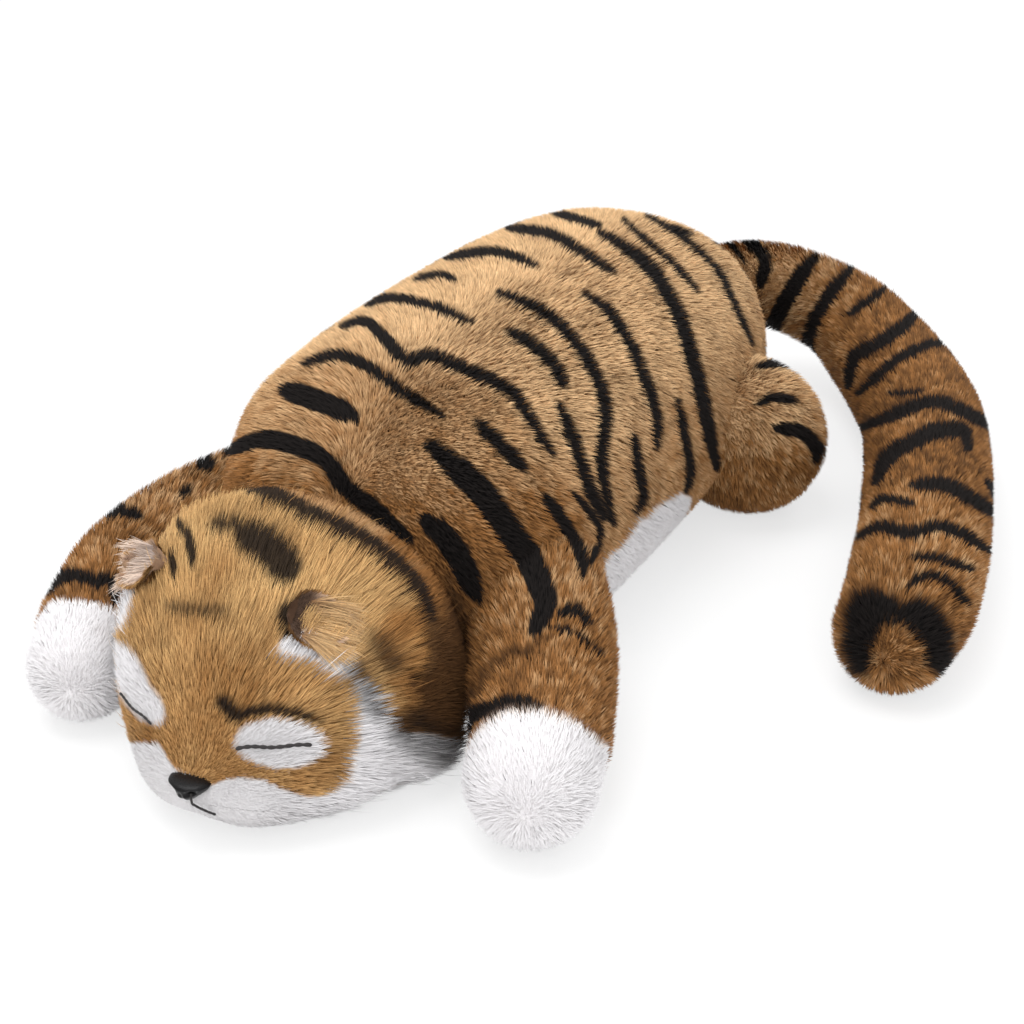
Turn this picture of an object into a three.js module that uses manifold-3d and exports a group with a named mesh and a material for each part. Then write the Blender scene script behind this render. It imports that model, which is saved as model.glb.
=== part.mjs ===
// A sleeping plush tiger with a breathing mechanism inside. Millimetres, +Z up.
// The toy lies on its belly at z = 0, its face points along -Y and its left side is +X.
// The origin is on the flat belly face, on the toy's middle plane.
import * as THREE from "three";
import { mergeVertices } from "three/addons/utils/BufferGeometryUtils.js";
import Module from "manifold-3d";

const wasm = await Module();
wasm.setup();

// Clearances
const GAP = 0.3; // between pieces that rest on each other
const RUN = 0.3; // round a shaft, pin or knob that turns or slides
const PLAY = 0.8; // between a stuffed ball and its socket
const SWEEP = 1.4; // between a limb and the body that it swings past
const FLAT = 0.5; // depth to which a stuffed form is pressed flat on the ground
const THROUGH = 1; // how far a cut runs past the face that it opens

// Torso: rows of place along Y, half width, top, height of the widest line, bottom
const TORSO = [
  [-160, 36, 84, 46, 16],
  [-142, 65, 107, 49, 5],
  [-98, 84, 131, 53, 0],
  [-30, 87, 134, 54, -FLAT],
  [45, 86, 133, 55, -FLAT],
  [112, 79, 127, 55, -FLAT],
  [152, 63, 112, 54, 0],
  [174, 43, 91, 51, 11],
  [184, 15, 63, 46, 30],
];
// Head: the same rows
const HEAD = [
  [-263, 12, 30, 21, 13],
  [-256, 28, 42, 22, 8],
  [-243, 43, 58, 26, 3],
  [-225, 56, 72, 33, 0],
  [-199, 64, 85, 38, -FLAT],
  [-172, 64, 92, 42, -FLAT],
  [-146, 52, 88, 43, 5],
  [-124, 30, 68, 42, 14],
];
// The limp head leans to its right: its middle is at x = shift on this height, and moves by slope above it.
const END_CROWN = 1.5; // how far a form's end bulges past its last row
const LEAN = { shift: 3, slope: -0.22, z: 22 };
const ROUND_TOP = 2.3; // exponent of the section above its widest line
const ROUND_BOTTOM = 2.8; // and below it
const CHIN_SEAM = { front: 19, back: 7, frontY: -262, backY: -190 }; // heights of the white chin's edge

// Limbs: rows of x, y, radius, and how far the underside is above the ground that the limb is pressed on.
// The first row is the centre of the ball that the limb swings on.
const FRONT_LEG_LEFT = {
  rows: [
    [56, -101, 31, 18.5], [80, -135, 30, 6.5], [99, -172, 27, 1], [111, -206, 26, 0],
  ],
  wrist: 0.82,
  swing: [0, 20],
};
const FRONT_LEG_RIGHT = {
  rows: [
    [-62, -94, 29, 21.5], [-87, -120, 27, 16.5], [-102, -152, 25.5, 8], [-97, -184, 24.5, 1], [-84, -213, 23, 0],
  ],
  wrist: 0.86,
  swing: [-20, 0],
};
const HIND_LEG = {
  rows: [[67, 70, 23, 20.5], [76, 77, 36, 4.5], [83, 81, 38, 0], [87, 83, 33, 1]],
  swing: [-8, 8],
};
const TAIL = {
  rows: [
    [0, 166, 20, 42.5], [30, 224, 23, 37], [73, 240, 25.5, 21], [110, 214, 28.5, 5.5],
    [151, 148, 30, 0], [180, 53, 29.5, 0], [194, -16, 28.5, 0], [196, -46, 25.5, 0],
  ],
  tip: 0.88,
  steps: 20,
  swing: [-3, 20],
};
const NOD = { y: -150, z: 80, range: [0, 15] }; // the neck bends along the top of its seam

// Face
const NOSE = { x: 3.4, z: 25, width: 15.5, height: 10, depth: 9, shank: 2, shankLength: 9 };
const WASHER = { radius: 6, thick: 2, inset: 1 };
const EYE = { middle: 1, inner: 18, outer: 40, z: 39.5, arch: 1.2, thread: 0.8 };
const MOUTH = { x: 5.5, top: 17.5, drop: 3.5, reach: 8, thread: 0.7 };
const EAR = { width: 26, length: 20, thick: 9, y: -210, left: 27, right: -52, tilt: 35 };

// Batteries: size AA cells that lie along Y
const CELL = { radius: 7.25, length: 50.5, between: 0.7, nub: 2.7, nubLength: 1.2, count: 3 };
const CONTACT = { thick: 0.8, spring: 3, springRadius: 4.6, height: 12 };
const BAY = { front: 27.6, wall: 2, side: 1.4, shelf: 30, under: 1 };
const DOOR = { thick: 2.2, screwInset: 5, rib: 2, ribPitch: 14, ribDepth: 0.8, ribFront: 16, ribBack: 8 };

// Gear train: pinion, compound gear and cam gear stand in a row at one height
const MODULE = 0.96;
const TEETH = { pinion: 10, wheel: 30, smallWheel: 10 };
const MESH_PLAY = 0.15; // added to each centre distance
const TOOTH = { root: 0.31, tip: 0.1, above: 0.9, below: 1.15 }; // half widths in pitches, heights in modules
const GEAR = { z: 60, wide: 4, narrow: 5.5, axle: 1.5, washer: 1, apart: 0.6, sunk: 0.1 };
const PLATE = { inner: 7, thick: 2, margin: 17, post: 2.5, postInset: 4.5, below: 3.6, side: 1.3 };
const MOTOR = {
  radius: 10, length: 25, boss: 3, shaft: 1, screw: 6, screwRadius: 1, screwHead: 2, screwReach: 3.5,
};
const MOTOR_SCREW_HEAD = { gap: 0.15, thick: 0.55 }; // thin, because the compound gear turns in front of it
const CAM = { low: 8, rise: 4, wide: 4, steps: 48 };

// Breathing plate: it hinges at the housing's back, and the cam holds it up at rest
const LUNG = {
  halfWidth: 30, front: -8, waist: 55, thick: 2.6, above: 3.4, angle: 5,
  pinInset: 8, pinAbove: 5, pin: 1.5, barrel: 3.4, barrelIn: 22, barrelOut: 29, lug: 4,
  foot: 2.5, footWide: 3, room: 2,
};

// Housing of the mechanism. Its width, length and height follow from what it holds.
const POD = { floor: 9.8, split: 46, wall: 2.4, corner: 12, ahead: 6, behind: 14.1, above: 24, bossGap: 1.1 };
const SCREW = { shank: 1.5, head: 3, headThick: 2, boss: 4.5, inset: 8, reach: 14, spare: 2, recess: 2.7 };
const OPENING = { side: 5.8, front: 6.5, back: 6.4 }; // room in the belly panel round the door and the switch

// Power switch and pat button
const SLIDER = {
  y: 18.5, stroke: 4, knob: 3, knobWidth: 4, base: 12, baseDepth: 5.2, baseThick: 1.6, stand: 2.2,
};
const SWITCH = { width: 22, depth: 9, height: 7, wall: 1.6 };
const PAT = { y: -27, cap: 12, capThick: 4, edge: 2, stem: 4, stemLength: 13, stroke: 1.5, lift: 3.2 };
const TACT = {
  size: 8, plunger: 1.8, plungerRise: 1.2, thick: 5, boardThick: 1.6, boardHalf: 11, boardDepth: 14, post: 2.5,
};

// Circuit board and speaker
const BOARD = { front: -40, back: 20, z: 37, thick: 1.6, post: 2.6, inset: 5, side: 1 };
const CHIP = { size: 14, thick: 2.2, y: 4 };
const SPEAKER = { y: -24, radius: 18, depth: 7, rim: 2.2, cone: 3, coneBase: 5, magnet: 10, magnetDepth: 6 };
const GRILLE = { slots: 5, pitch: 5, wide: 2, rim: 4 };

const RINGS = 16; // of the torso, from end to end
const SIDES = 22; // of its section
const BALL_SIDES = 16; // of a limb's root ball and of its socket
const LIMB_SIDES = 14;
const HEAD_LOFT = { sides: 22, rings: 14 };
const SHANK_SIDES = 10; // of a screw's shank and its hole
const SHAFT_SIDES = 12; // of the motor's shaft, the pins and a screw's head
const FAR = 500; // past every piece
const rad = THREE.MathUtils.degToRad;

// Places that follow from the sizes above
const pitchRadius = (teeth) => (MODULE * teeth) / 2;
const floorTop = POD.floor + POD.wall;
const roof = GEAR.z + POD.above;
const roofUnder = roof - POD.wall;
const bellySeam = POD.floor - GAP;
const cellPitch = 2 * CELL.radius + CELL.between;
const cellZ = floorTop + CELL.radius + BAY.under;
const bayTop = cellZ + CELL.radius + GAP;
const bayHalf = (CELL.count / 2) * cellPitch + BAY.side;
const cellFront = BAY.front + GAP + CONTACT.thick + GAP;
const cellBack = cellFront + CELL.length;
const bayBack = cellBack + GAP + CONTACT.spring + CONTACT.thick + GAP;
const shelfTop = bayTop + BAY.wall;
const doorBack = bayBack - GAP;
const podFront = BOARD.front - POD.ahead;
const podBack = bayBack + POD.behind;
const pinY = podBack - LUNG.pinInset;
const pinZ = roof + LUNG.pinAbove;
const lungUnder = roof + LUNG.above;
const lugIn = LUNG.barrelOut + GAP;
const lugOut = lugIn + LUNG.lug;
const motorY = podBack - POD.wall - MOTOR.radius - PLATE.postInset;
const compoundY = motorY - pitchRadius(TEETH.pinion) - pitchRadius(TEETH.wheel) - MESH_PLAY;
const camY = compoundY - pitchRadius(TEETH.smallWheel) - pitchRadius(TEETH.wheel) - MESH_PLAY;
const plateFace = PLATE.inner + PLATE.thick;
const firstX = plateFace + GEAR.washer;
const secondX = firstX + GEAR.wide + GEAR.apart;
const camX = secondX + GEAR.wide + GEAR.apart;
const plateOuter = camX + CAM.wide + PLATE.side;
const plateTop = roofUnder - PLATE.below;
const bossInner = plateOuter + PLATE.thick + POD.bossGap;
const podHalf = bossInner + SCREW.boss + SCREW.inset;
const tactTop = roof + PAT.lift - PAT.stemLength - PAT.stroke - GAP;
const screwPlaces = [-1, 1].flatMap((side) =>
  [podFront + SCREW.inset, podBack - SCREW.inset].map((y) => [side * (podHalf - SCREW.inset), y]),
);

// Turns a closed geometry into a solid that can be joined and cut.
function solid(geometry) {
  const bare = geometry.index ? geometry.toNonIndexed() : geometry.clone();
  for (const name of Object.keys(bare.attributes)) if (name !== "position") bare.deleteAttribute(name);
  const merged = mergeVertices(bare, 1e-4);
  return new wasm.Manifold(
    new wasm.Mesh({
      numProp: 3,
      vertProperties: merged.attributes.position.array,
      triVerts: new Uint32Array(merged.index.array),
    }),
  );
}

// Turns a solid back into a geometry.
function geometryOf(made) {
  const mesh = made.getMesh();
  const points = new Float32Array(mesh.numVert * 3);
  for (let i = 0; i < mesh.numVert; i++) {
    points.set(mesh.vertProperties.subarray(i * mesh.numProp, i * mesh.numProp + 3), i * 3);
  }
  const geometry = new THREE.BufferGeometry();
  geometry.setAttribute("position", new THREE.BufferAttribute(points, 3));
  geometry.setIndex(new THREE.BufferAttribute(new Uint32Array(mesh.triVerts), 1));
  geometry.computeVertexNormals();
  return geometry;
}

const join = (...solids) => solids.flat().reduce((all, one) => all.add(one));
const cut = (from, ...solids) => solids.flat().reduce((left, one) => left.subtract(one), from);

// The largest body of a solid, without the slivers that a cut leaves beside it.
function largest(made) {
  return made.decompose().reduce((best, one) => (one.volume() > best.volume() ? one : best));
}

function box(x0, x1, y0, y1, z0, z1) {
  const geometry = new THREE.BoxGeometry(x1 - x0, y1 - y0, z1 - z0);
  return solid(geometry.translate((x0 + x1) / 2, (y0 + y1) / 2, (z0 + z1) / 2));
}

// A cylinder between two points.
function rod(radius, from, to, sides = 16) {
  const a = new THREE.Vector3(...from);
  const b = new THREE.Vector3(...to);
  const geometry = new THREE.CylinderGeometry(radius, radius, a.distanceTo(b), sides);
  const turn = new THREE.Quaternion().setFromUnitVectors(
    new THREE.Vector3(0, 1, 0),
    b.clone().sub(a).normalize(),
  );
  geometry.applyQuaternion(turn);
  const middle = a.add(b).multiplyScalar(0.5);
  return solid(geometry.translate(middle.x, middle.y, middle.z));
}

// A ball with its poles above and below, so that it turns freely about an upright line.
function ball(radius, centre, sides) {
  return solid(new THREE.SphereGeometry(radius, sides, sides / 2).rotateX(Math.PI / 2).translate(...centre));
}

// A block with rounded vertical corners.
function roundedBlock(halfWidth, y0, y1, z0, z1, corner) {
  const shape = new THREE.Shape();
  shape.absarc(halfWidth - corner, y1 - corner, corner, 0, Math.PI / 2);
  shape.absarc(corner - halfWidth, y1 - corner, corner, Math.PI / 2, Math.PI);
  shape.absarc(corner - halfWidth, y0 + corner, corner, Math.PI, 1.5 * Math.PI);
  shape.absarc(halfWidth - corner, y0 + corner, corner, 1.5 * Math.PI, 2 * Math.PI);
  const geometry = new THREE.ExtrudeGeometry(shape, { depth: z1 - z0, bevelEnabled: false, curveSegments: 4 });
  return solid(geometry.translate(0, 0, z0));
}

// Extrudes an outline drawn in (y, z) along X.
function slabAlongX(shape, x0, x1) {
  const geometry = new THREE.ExtrudeGeometry(shape, { depth: x1 - x0, bevelEnabled: false, curveSegments: 1 });
  geometry.applyMatrix4(new THREE.Matrix4().makeBasis(
    new THREE.Vector3(0, 1, 0),
    new THREE.Vector3(0, 0, 1),
    new THREE.Vector3(1, 0, 0),
  ));
  return solid(geometry.translate(x0, 0, 0));
}

// A lathed piece along Z from rows of radius and height.
function lathe(rows, sides) {
  const profile = rows.map(([radius, z]) => new THREE.Vector2(radius, z));
  return solid(new THREE.LatheGeometry(profile, sides).rotateX(Math.PI / 2));
}

// A smooth curve through rows of numbers, read at the first number. It never overshoots a row.
function smooth(rows, at) {
  const slope = (i, k) => (rows[i + 1][k] - rows[i][k]) / (rows[i + 1][0] - rows[i][0]);
  const tangent = (i, k) => {
    if (i === 0) return slope(0, k);
    if (i === rows.length - 1) return slope(i - 1, k);
    const before = slope(i - 1, k);
    const after = slope(i, k);
    return before * after > 0 ? (2 * before * after) / (before + after) : 0;
  };
  let i = 0;
  while (i < rows.length - 2 && at > rows[i + 1][0]) i++;
  const span = rows[i + 1][0] - rows[i][0];
  const t = (at - rows[i][0]) / span;
  return rows[i].map((value, k) => {
    if (k === 0) return at;
    const rise = rows[i + 1][k] - value;
    const a = tangent(i, k) * span - rise;
    const b = rise - tangent(i + 1, k) * span;
    return value + rise * t + t * (1 - t) * (a * (1 - t) + b * t);
  });
}

// A closed surface from rings of points with a middle point at each end.
function skin(rings, first, last) {
  const points = [first, ...rings.flat(), last];
  const sides = rings[0].length;
  const index = [];
  for (let i = 0; i < sides; i++) {
    const j = (i + 1) % sides;
    index.push(0, 1 + j, 1 + i);
    for (let r = 0; r < rings.length - 1; r++) {
      const a = 1 + r * sides;
      const b = a + sides;
      index.push(a + i, a + j, b + j, a + i, b + j, b + i);
    }
    const end = 1 + (rings.length - 1) * sides;
    index.push(points.length - 1, end + i, end + j);
  }
  const geometry = new THREE.BufferGeometry();
  geometry.setAttribute("position", new THREE.Float32BufferAttribute(points.flat(), 3));
  geometry.setIndex(index);
  const made = solid(geometry);
  return made.volume() < 0 ? solid(flipped(geometry)) : made;
}

function flipped(geometry) {
  const index = geometry.index.array;
  for (let i = 0; i < index.length; i += 3) [index[i], index[i + 1]] = [index[i + 1], index[i]];
  return geometry;
}

// A stuffed form lofted along Y through its rows, grown by a margin.
function loft(rows, grow, lean, sides, rings) {
  const front = rows[0][0];
  const back = rows[rows.length - 1][0];
  const made = [];
  const leanAt = (z) => lean.shift + lean.slope * (z - lean.z);
  const ringAt = (y, at) => {
    const [, half, top, middle, low] = smooth(rows, y);
    const ring = [];
    for (let i = 0; i < sides; i++) {
      const angle = (2 * Math.PI * i) / sides;
      const c = Math.cos(angle);
      const s = Math.sin(angle);
      const power = s >= 0 ? ROUND_TOP : ROUND_BOTTOM;
      const reach = (Math.abs(c) ** power + Math.abs(s) ** power) ** (-1 / power);
      const z = middle + s * reach * ((s >= 0 ? top - middle : middle - low) + grow);
      ring.push([c * reach * (half + grow) + leanAt(z), at, z]);
    }
    return ring;
  };
  for (let i = 0; i <= rings; i++) {
    const y = (front + back) / 2 - ((back - front) / 2) * Math.cos((Math.PI * i) / rings);
    made.push(ringAt(y, i === 0 ? y - grow : i === rings ? y + grow : y));
  }
  const end = (row, sign) => [leanAt(row[3]), row[0] + sign * (grow + END_CROWN), row[3]];
  return skin(made, end(rows[0], -1), end(rows[rows.length - 1], 1));
}

// The middle point of one row of a limb.
const rowCentre = ([x, y, radius, lift]) => [x, y, lift + radius - FLAT];

// A stuffed limb: a round tube along a line, with a ball at each end.
function limb({ rows, steps = 10 }, sides = LIMB_SIDES) {
  const points = rows.map((row) => new THREE.Vector3(...rowCentre(row)));
  const curve = new THREE.CatmullRomCurve3(points, false, "catmullrom", 0.5);
  const radii = rows.map((row, i) => [i, row[2]]);
  const rings = [];
  const up = new THREE.Vector3(0, 0, 1);
  const ring = (centre, along, r) => {
    const side = new THREE.Vector3().crossVectors(along, up).normalize();
    const high = new THREE.Vector3().crossVectors(side, along);
    rings.push(Array.from({ length: sides }, (_, i) => {
      const angle = (2 * Math.PI * i) / sides;
      const point = centre.clone();
      point.addScaledVector(side, r * Math.cos(angle)).addScaledVector(high, r * Math.sin(angle));
      return point.toArray();
    }));
  };
  const at = (t) => smooth(radii, t * (rows.length - 1))[1];
  const cap = (t, sign) => {
    const along = curve.getTangent(t);
    return [20, 45, 70].map((angle) => {
      const a = rad(angle);
      return [curve.getPoint(t).addScaledVector(along, sign * at(t) * Math.cos(a)), along, at(t) * Math.sin(a)];
    });
  };
  const start = cap(0, -1);
  const finish = cap(1, 1).reverse();
  start.forEach((one) => ring(...one));
  for (let i = 0; i <= steps; i++) ring(curve.getPoint(i / steps), curve.getTangent(i / steps), at(i / steps));
  finish.forEach((one) => ring(...one));
  const pole = (t, sign) => curve.getPoint(t).addScaledVector(curve.getTangent(t), sign * at(t)).toArray();
  return { made: skin(rings, pole(0, -1), pole(1, 1)), curve };
}

const HIND_LEG_RIGHT = { ...HIND_LEG, rows: HIND_LEG.rows.map(([x, ...rest]) => [-x, ...rest]) };

// Turns a solid about an upright line through a point, or about a line along X.
const aboutZ = (made, [x, y], degrees) =>
  made.translate([-x, -y, 0]).rotate([0, 0, degrees]).translate([x, y, 0]);
const aboutX = (made, y, z, degrees) =>
  made.translate([0, -y, -z]).rotate([degrees, 0, 0]).translate([0, y, z]);
const stepsOver = ([low, high], count = 4) =>
  Array.from({ length: count + 1 }, (_, i) => low + ((high - low) * i) / count);

const ground = box(-FAR, FAR, -FAR, FAR, -FAR, 0);
const upright = { shift: 0, slope: 0, z: 0 };
const torsoForm = (grow) => loft(TORSO, grow, upright, SIDES, RINGS);
const headForm = (grow) => loft(HEAD, grow, LEAN, HEAD_LOFT.sides, HEAD_LOFT.rings);
const torsoNear = torsoForm(SWEEP);

// The room that the torso takes as a limb swings: the torso turned back over the limb's range.
const sweptTorso = ({ rows, swing }) =>
  stepsOver(swing, 3).map((degrees) => aboutZ(torsoNear, rows[0], -degrees));
const sweptHead = stepsOver(NOD.range, 1).map((degrees) => aboutX(headForm(SWEEP), NOD.y, NOD.z, -degrees));
const rootBall = ({ rows }, play = 0) => ball(rows[0][2] + play, rowCentre(rows[0]), BALL_SIDES);

// A limb cut free of the torso, with the root ball that turns in its socket, pressed flat on the ground.
function limbForm(sizes, ...others) {
  const { made, curve } = limb(sizes);
  const free = largest(cut(made, ...sweptTorso(sizes), ...others, ground));
  return { form: largest(cut(join(free, rootBall(sizes)), ground)), curve };
}

// Splits a limb square to its line: the near piece and the far piece, with a gap between them.
function splitLimb({ form, curve }, share) {
  const at = curve.getPoint(share);
  const along = curve.getTangent(share);
  const offset = along.dot(at);
  const far = form.trimByPlane(along.toArray(), offset + GAP / 2);
  const near = form.trimByPlane(along.clone().negate().toArray(), -(offset - GAP / 2));
  return [largest(near), largest(far)];
}

const materials = {
  tanPlush: { color: 0xb08a5c, roughness: 1 },
  darkPlush: { color: 0x2a241f, roughness: 1 },
  whitePlush: { color: 0xeceaf0, roughness: 1 },
  goldPlush: { color: 0xc39a5f, roughness: 1 },
  thread: { color: 0x17130f, roughness: 0.7 },
  glossBlack: { color: 0x101010, roughness: 0.25 },
  greyPlastic: { color: 0xc9c6bd, roughness: 0.5 },
  blackPlastic: { color: 0x24252a, roughness: 0.45 },
  whitePlastic: { color: 0xf1efe9, roughness: 0.4 },
  steel: { color: 0xb9bcc0, roughness: 0.3, metalness: 1 },
  brass: { color: 0xc9a452, roughness: 0.35, metalness: 1 },
  cellSleeve: { color: 0x3b4a63, roughness: 0.4 },
  board: { color: 0x1f6b45, roughness: 0.5 },
};
for (const key of Object.keys(materials)) {
  materials[key] = new THREE.MeshStandardMaterial({ name: key, ...materials[key] });
}

const toy = new THREE.Group();
function add(name, made, material, parent = toy) {
  const mesh = new THREE.Mesh(geometryOf(made), material);
  mesh.name = name;
  parent.add(mesh);
  return mesh;
}

// Torso cover and belly panel

function podHollow() {
  const lungRise = (pinY - LUNG.front) * Math.tan(rad(LUNG.angle));
  const lungTop = pinZ + LUNG.thick + lungRise + LUNG.room;
  const lungSide = Math.max(lugOut, LUNG.halfWidth) + LUNG.room;
  const patTop = roof + PAT.lift + PAT.capThick + GAP;
  return join(
    roundedBlock(podHalf + GAP, podFront - GAP, podBack + GAP, 0, roof + GAP, POD.corner),
    box(-lungSide, lungSide, LUNG.front - LUNG.room, pinY + LUNG.barrel + LUNG.room, roof - THROUGH, lungTop),
    rod(PAT.cap + THROUGH, [0, PAT.y, roof - THROUGH], [0, PAT.y, patTop]),
  );
}

function torso() {
  const sockets = [FRONT_LEG_LEFT, FRONT_LEG_RIGHT, HIND_LEG, HIND_LEG_RIGHT, TAIL];
  const shell = cut(torsoForm(0), ground, sockets.map((sizes) => rootBall(sizes, PLAY)));
  const cover = cut(shell.trimByPlane([0, 0, 1], bellySeam + GAP / 2), podHollow());
  add("torso_cover", largest(cover), materials.tanPlush);
  const panel = shell.trimByPlane([0, 0, -1], -(bellySeam - GAP / 2));
  const wayHalf = bayHalf + OPENING.side;
  const way = box(
    -wayHalf, wayHalf, SLIDER.y - OPENING.front, doorBack + OPENING.back, -THROUGH, bellySeam + THROUGH,
  );
  add("belly_panel", largest(cut(panel, way)), materials.whitePlush);
}

// Head

// Where a line along +Y at (x, z), or a line down at (x, y), first meets a solid.
function meeting(target, origin, direction) {
  const mesh = new THREE.Mesh(geometryOf(target), new THREE.MeshBasicMaterial());
  const hit = new THREE.Raycaster(origin, direction).intersectObject(mesh)[0];
  return { point: hit.point, normal: hit.face.normal };
}
const onFace = (target, x, z) => meeting(target, new THREE.Vector3(x, -FAR, z), new THREE.Vector3(0, 1, 0));
const onTop = (target, x, y) => meeting(target, new THREE.Vector3(x, y, FAR), new THREE.Vector3(0, 0, -1));

// A thread sewn over a surface, through points of its face.
function stitch(target, points, thread) {
  const path = points.map(([x, z]) => {
    const { point, normal } = onFace(target, x, z);
    return point.clone().addScaledVector(normal, thread + 1.5 * GAP);
  });
  const curve = new THREE.CatmullRomCurve3(path);
  const section = new THREE.Shape().absarc(0, 0, thread, 0, 2 * Math.PI);
  return solid(new THREE.ExtrudeGeometry(section, {
    extrudePath: curve,
    steps: 10,
    curveSegments: 3,
    bevelEnabled: false,
  }));
}

function head() {
  const sweptBody = stepsOver(NOD.range, 3).map((degrees) => aboutX(torsoNear, NOD.y, NOD.z, degrees));
  const form = largest(cut(headForm(0), ...sweptBody, ground));
  const slope = Math.atan2(CHIN_SEAM.front - CHIN_SEAM.back, CHIN_SEAM.backY - CHIN_SEAM.frontY);
  const across = [0, Math.sin(slope), Math.cos(slope)];
  const offset = across[1] * CHIN_SEAM.frontY + across[2] * CHIN_SEAM.front;
  const chin = largest(form.trimByPlane(across.map((v) => -v), -(offset - GAP / 2)));
  const upper = largest(form.trimByPlane(across, offset + GAP / 2));

  const { point: nosePoint } = onFace(upper, NOSE.x, NOSE.z);
  const y = nosePoint.y;
  const noseForm = solid(new THREE.SphereGeometry(1, 16, 10)
    .scale(NOSE.width / 2, NOSE.depth, NOSE.height / 2)
    .translate(NOSE.x, y, NOSE.z));
  const noseBody = largest(cut(noseForm, headForm(GAP)));
  const shankEnd = y + NOSE.shankLength;
  const shank = rod(NOSE.shank, [NOSE.x, y - NOSE.depth / 2, NOSE.z], [NOSE.x, shankEnd, NOSE.z], 12);
  const washerY = shankEnd - WASHER.thick - WASHER.inset;
  const washerEnd = washerY + WASHER.thick;
  const disc = (radius, from, to) => rod(radius, [NOSE.x, from, NOSE.z], [NOSE.x, to, NOSE.z], 16);
  const washer = cut(
    disc(WASHER.radius, washerY, washerEnd),
    disc(NOSE.shank + RUN, washerY - THROUGH, shankEnd + THROUGH),
  );
  const hole = join(
    disc(NOSE.shank + RUN, y - NOSE.depth, shankEnd + GAP),
    disc(WASHER.radius + GAP, washerY - GAP, washerEnd + GAP),
  );
  add("head_cover", largest(cut(upper, hole)), materials.goldPlush);
  add("chin_panel", chin, materials.whitePlush);
  add("nose", join(noseBody, shank), materials.glossBlack);
  add("nose_washer", washer, materials.whitePlastic);

  for (const [side, sign] of [["left", 1], ["right", -1]]) {
    const line = [0, 0.25, 0.5, 0.75, 1].map((t) => [
      EYE.middle + sign * THREE.MathUtils.lerp(EYE.inner, EYE.outer, t),
      EYE.z + EYE.arch * 4 * t * (1 - t),
    ]);
    add("eye_stitch_" + side, stitch(form, line, EYE.thread), materials.thread);
    const at = EAR[side];
    const { point } = onTop(form, at, EAR.y);
    const flap = solid(new THREE.SphereGeometry(1, 14, 10)
      .scale(EAR.width / 2, EAR.length / 2, EAR.thick / 2)
      .rotateY(rad(sign * EAR.tilt))
      .translate(at, EAR.y, point.z + EAR.thick / 3));
    add("ear_" + side, largest(cut(flap, headForm(GAP))), materials.goldPlush);
  }
  const mouthLine = [
    [MOUTH.x, MOUTH.top],
    [MOUTH.x, MOUTH.top - MOUTH.drop],
    [MOUTH.x + MOUTH.reach / 2, MOUTH.top - 1.4 * MOUTH.drop],
    [MOUTH.x + MOUTH.reach, MOUTH.top - 1.9 * MOUTH.drop],
  ];
  add("mouth_stitch", stitch(form, mouthLine, MOUTH.thread), materials.thread);
}

// Legs and tail

function limbs() {
  for (const [side, sizes] of [["left", FRONT_LEG_LEFT], ["right", FRONT_LEG_RIGHT]]) {
    const [leg, paw] = splitLimb(limbForm(sizes, ...sweptHead), sizes.wrist);
    add("front_leg_" + side, leg, materials.tanPlush);
    add("front_paw_" + side, paw, materials.whitePlush);
  }
  add("hind_leg_left", limbForm(HIND_LEG).form, materials.tanPlush);
  add("hind_leg_right", limbForm(HIND_LEG_RIGHT).form, materials.tanPlush);
  const [tail, tip] = splitLimb(limbForm(TAIL), TAIL.tip);
  add("tail", tail, materials.tanPlush);
  add("tail_tip", tip, materials.darkPlush);
}

// Housing

function housing() {
  const inside = podHalf - POD.wall;
  const hollow = (z0, z1) =>
    roundedBlock(inside, podFront + POD.wall, podBack - POD.wall, z0, z1, POD.corner - POD.wall);
  const outer = (z0, z1) => roundedBlock(podHalf, podFront, podBack, z0, z1, POD.corner);
  const bosses = (z0, z1) => screwPlaces.map(([x, y]) => rod(SCREW.boss, [x, y, z0], [x, y, z1], SHAFT_SIDES));
  const holeTop = POD.split + SCREW.reach;
  const under = POD.floor - THROUGH;
  const holes = screwPlaces.flatMap(([x, y]) => [
    rod(SCREW.shank + RUN, [x, y, under], [x, y, holeTop], SHANK_SIDES),
    rod(SCREW.head + RUN, [x, y, under], [x, y, POD.floor + SCREW.recess], SHAFT_SIDES),
  ]);
  add("lower_housing", largest(lowerHousing(outer, hollow, bosses, holes)), materials.greyPlastic);
  add("upper_housing", largest(upperHousing(outer, hollow, bosses, holes)), materials.greyPlastic);
  screwPlaces.forEach(([x, y], i) => {
    const headTop = POD.floor + SCREW.recess - GAP;
    const made = join(
      rod(SCREW.head, [x, y, headTop - SCREW.headThick], [x, y, headTop], SHAFT_SIDES),
      rod(SCREW.shank, [x, y, headTop - THROUGH], [x, y, holeTop - SCREW.spare], SHANK_SIDES),
    );
    add("housing_screw_" + (i + 1), made, materials.steel);
  });
}

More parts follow.
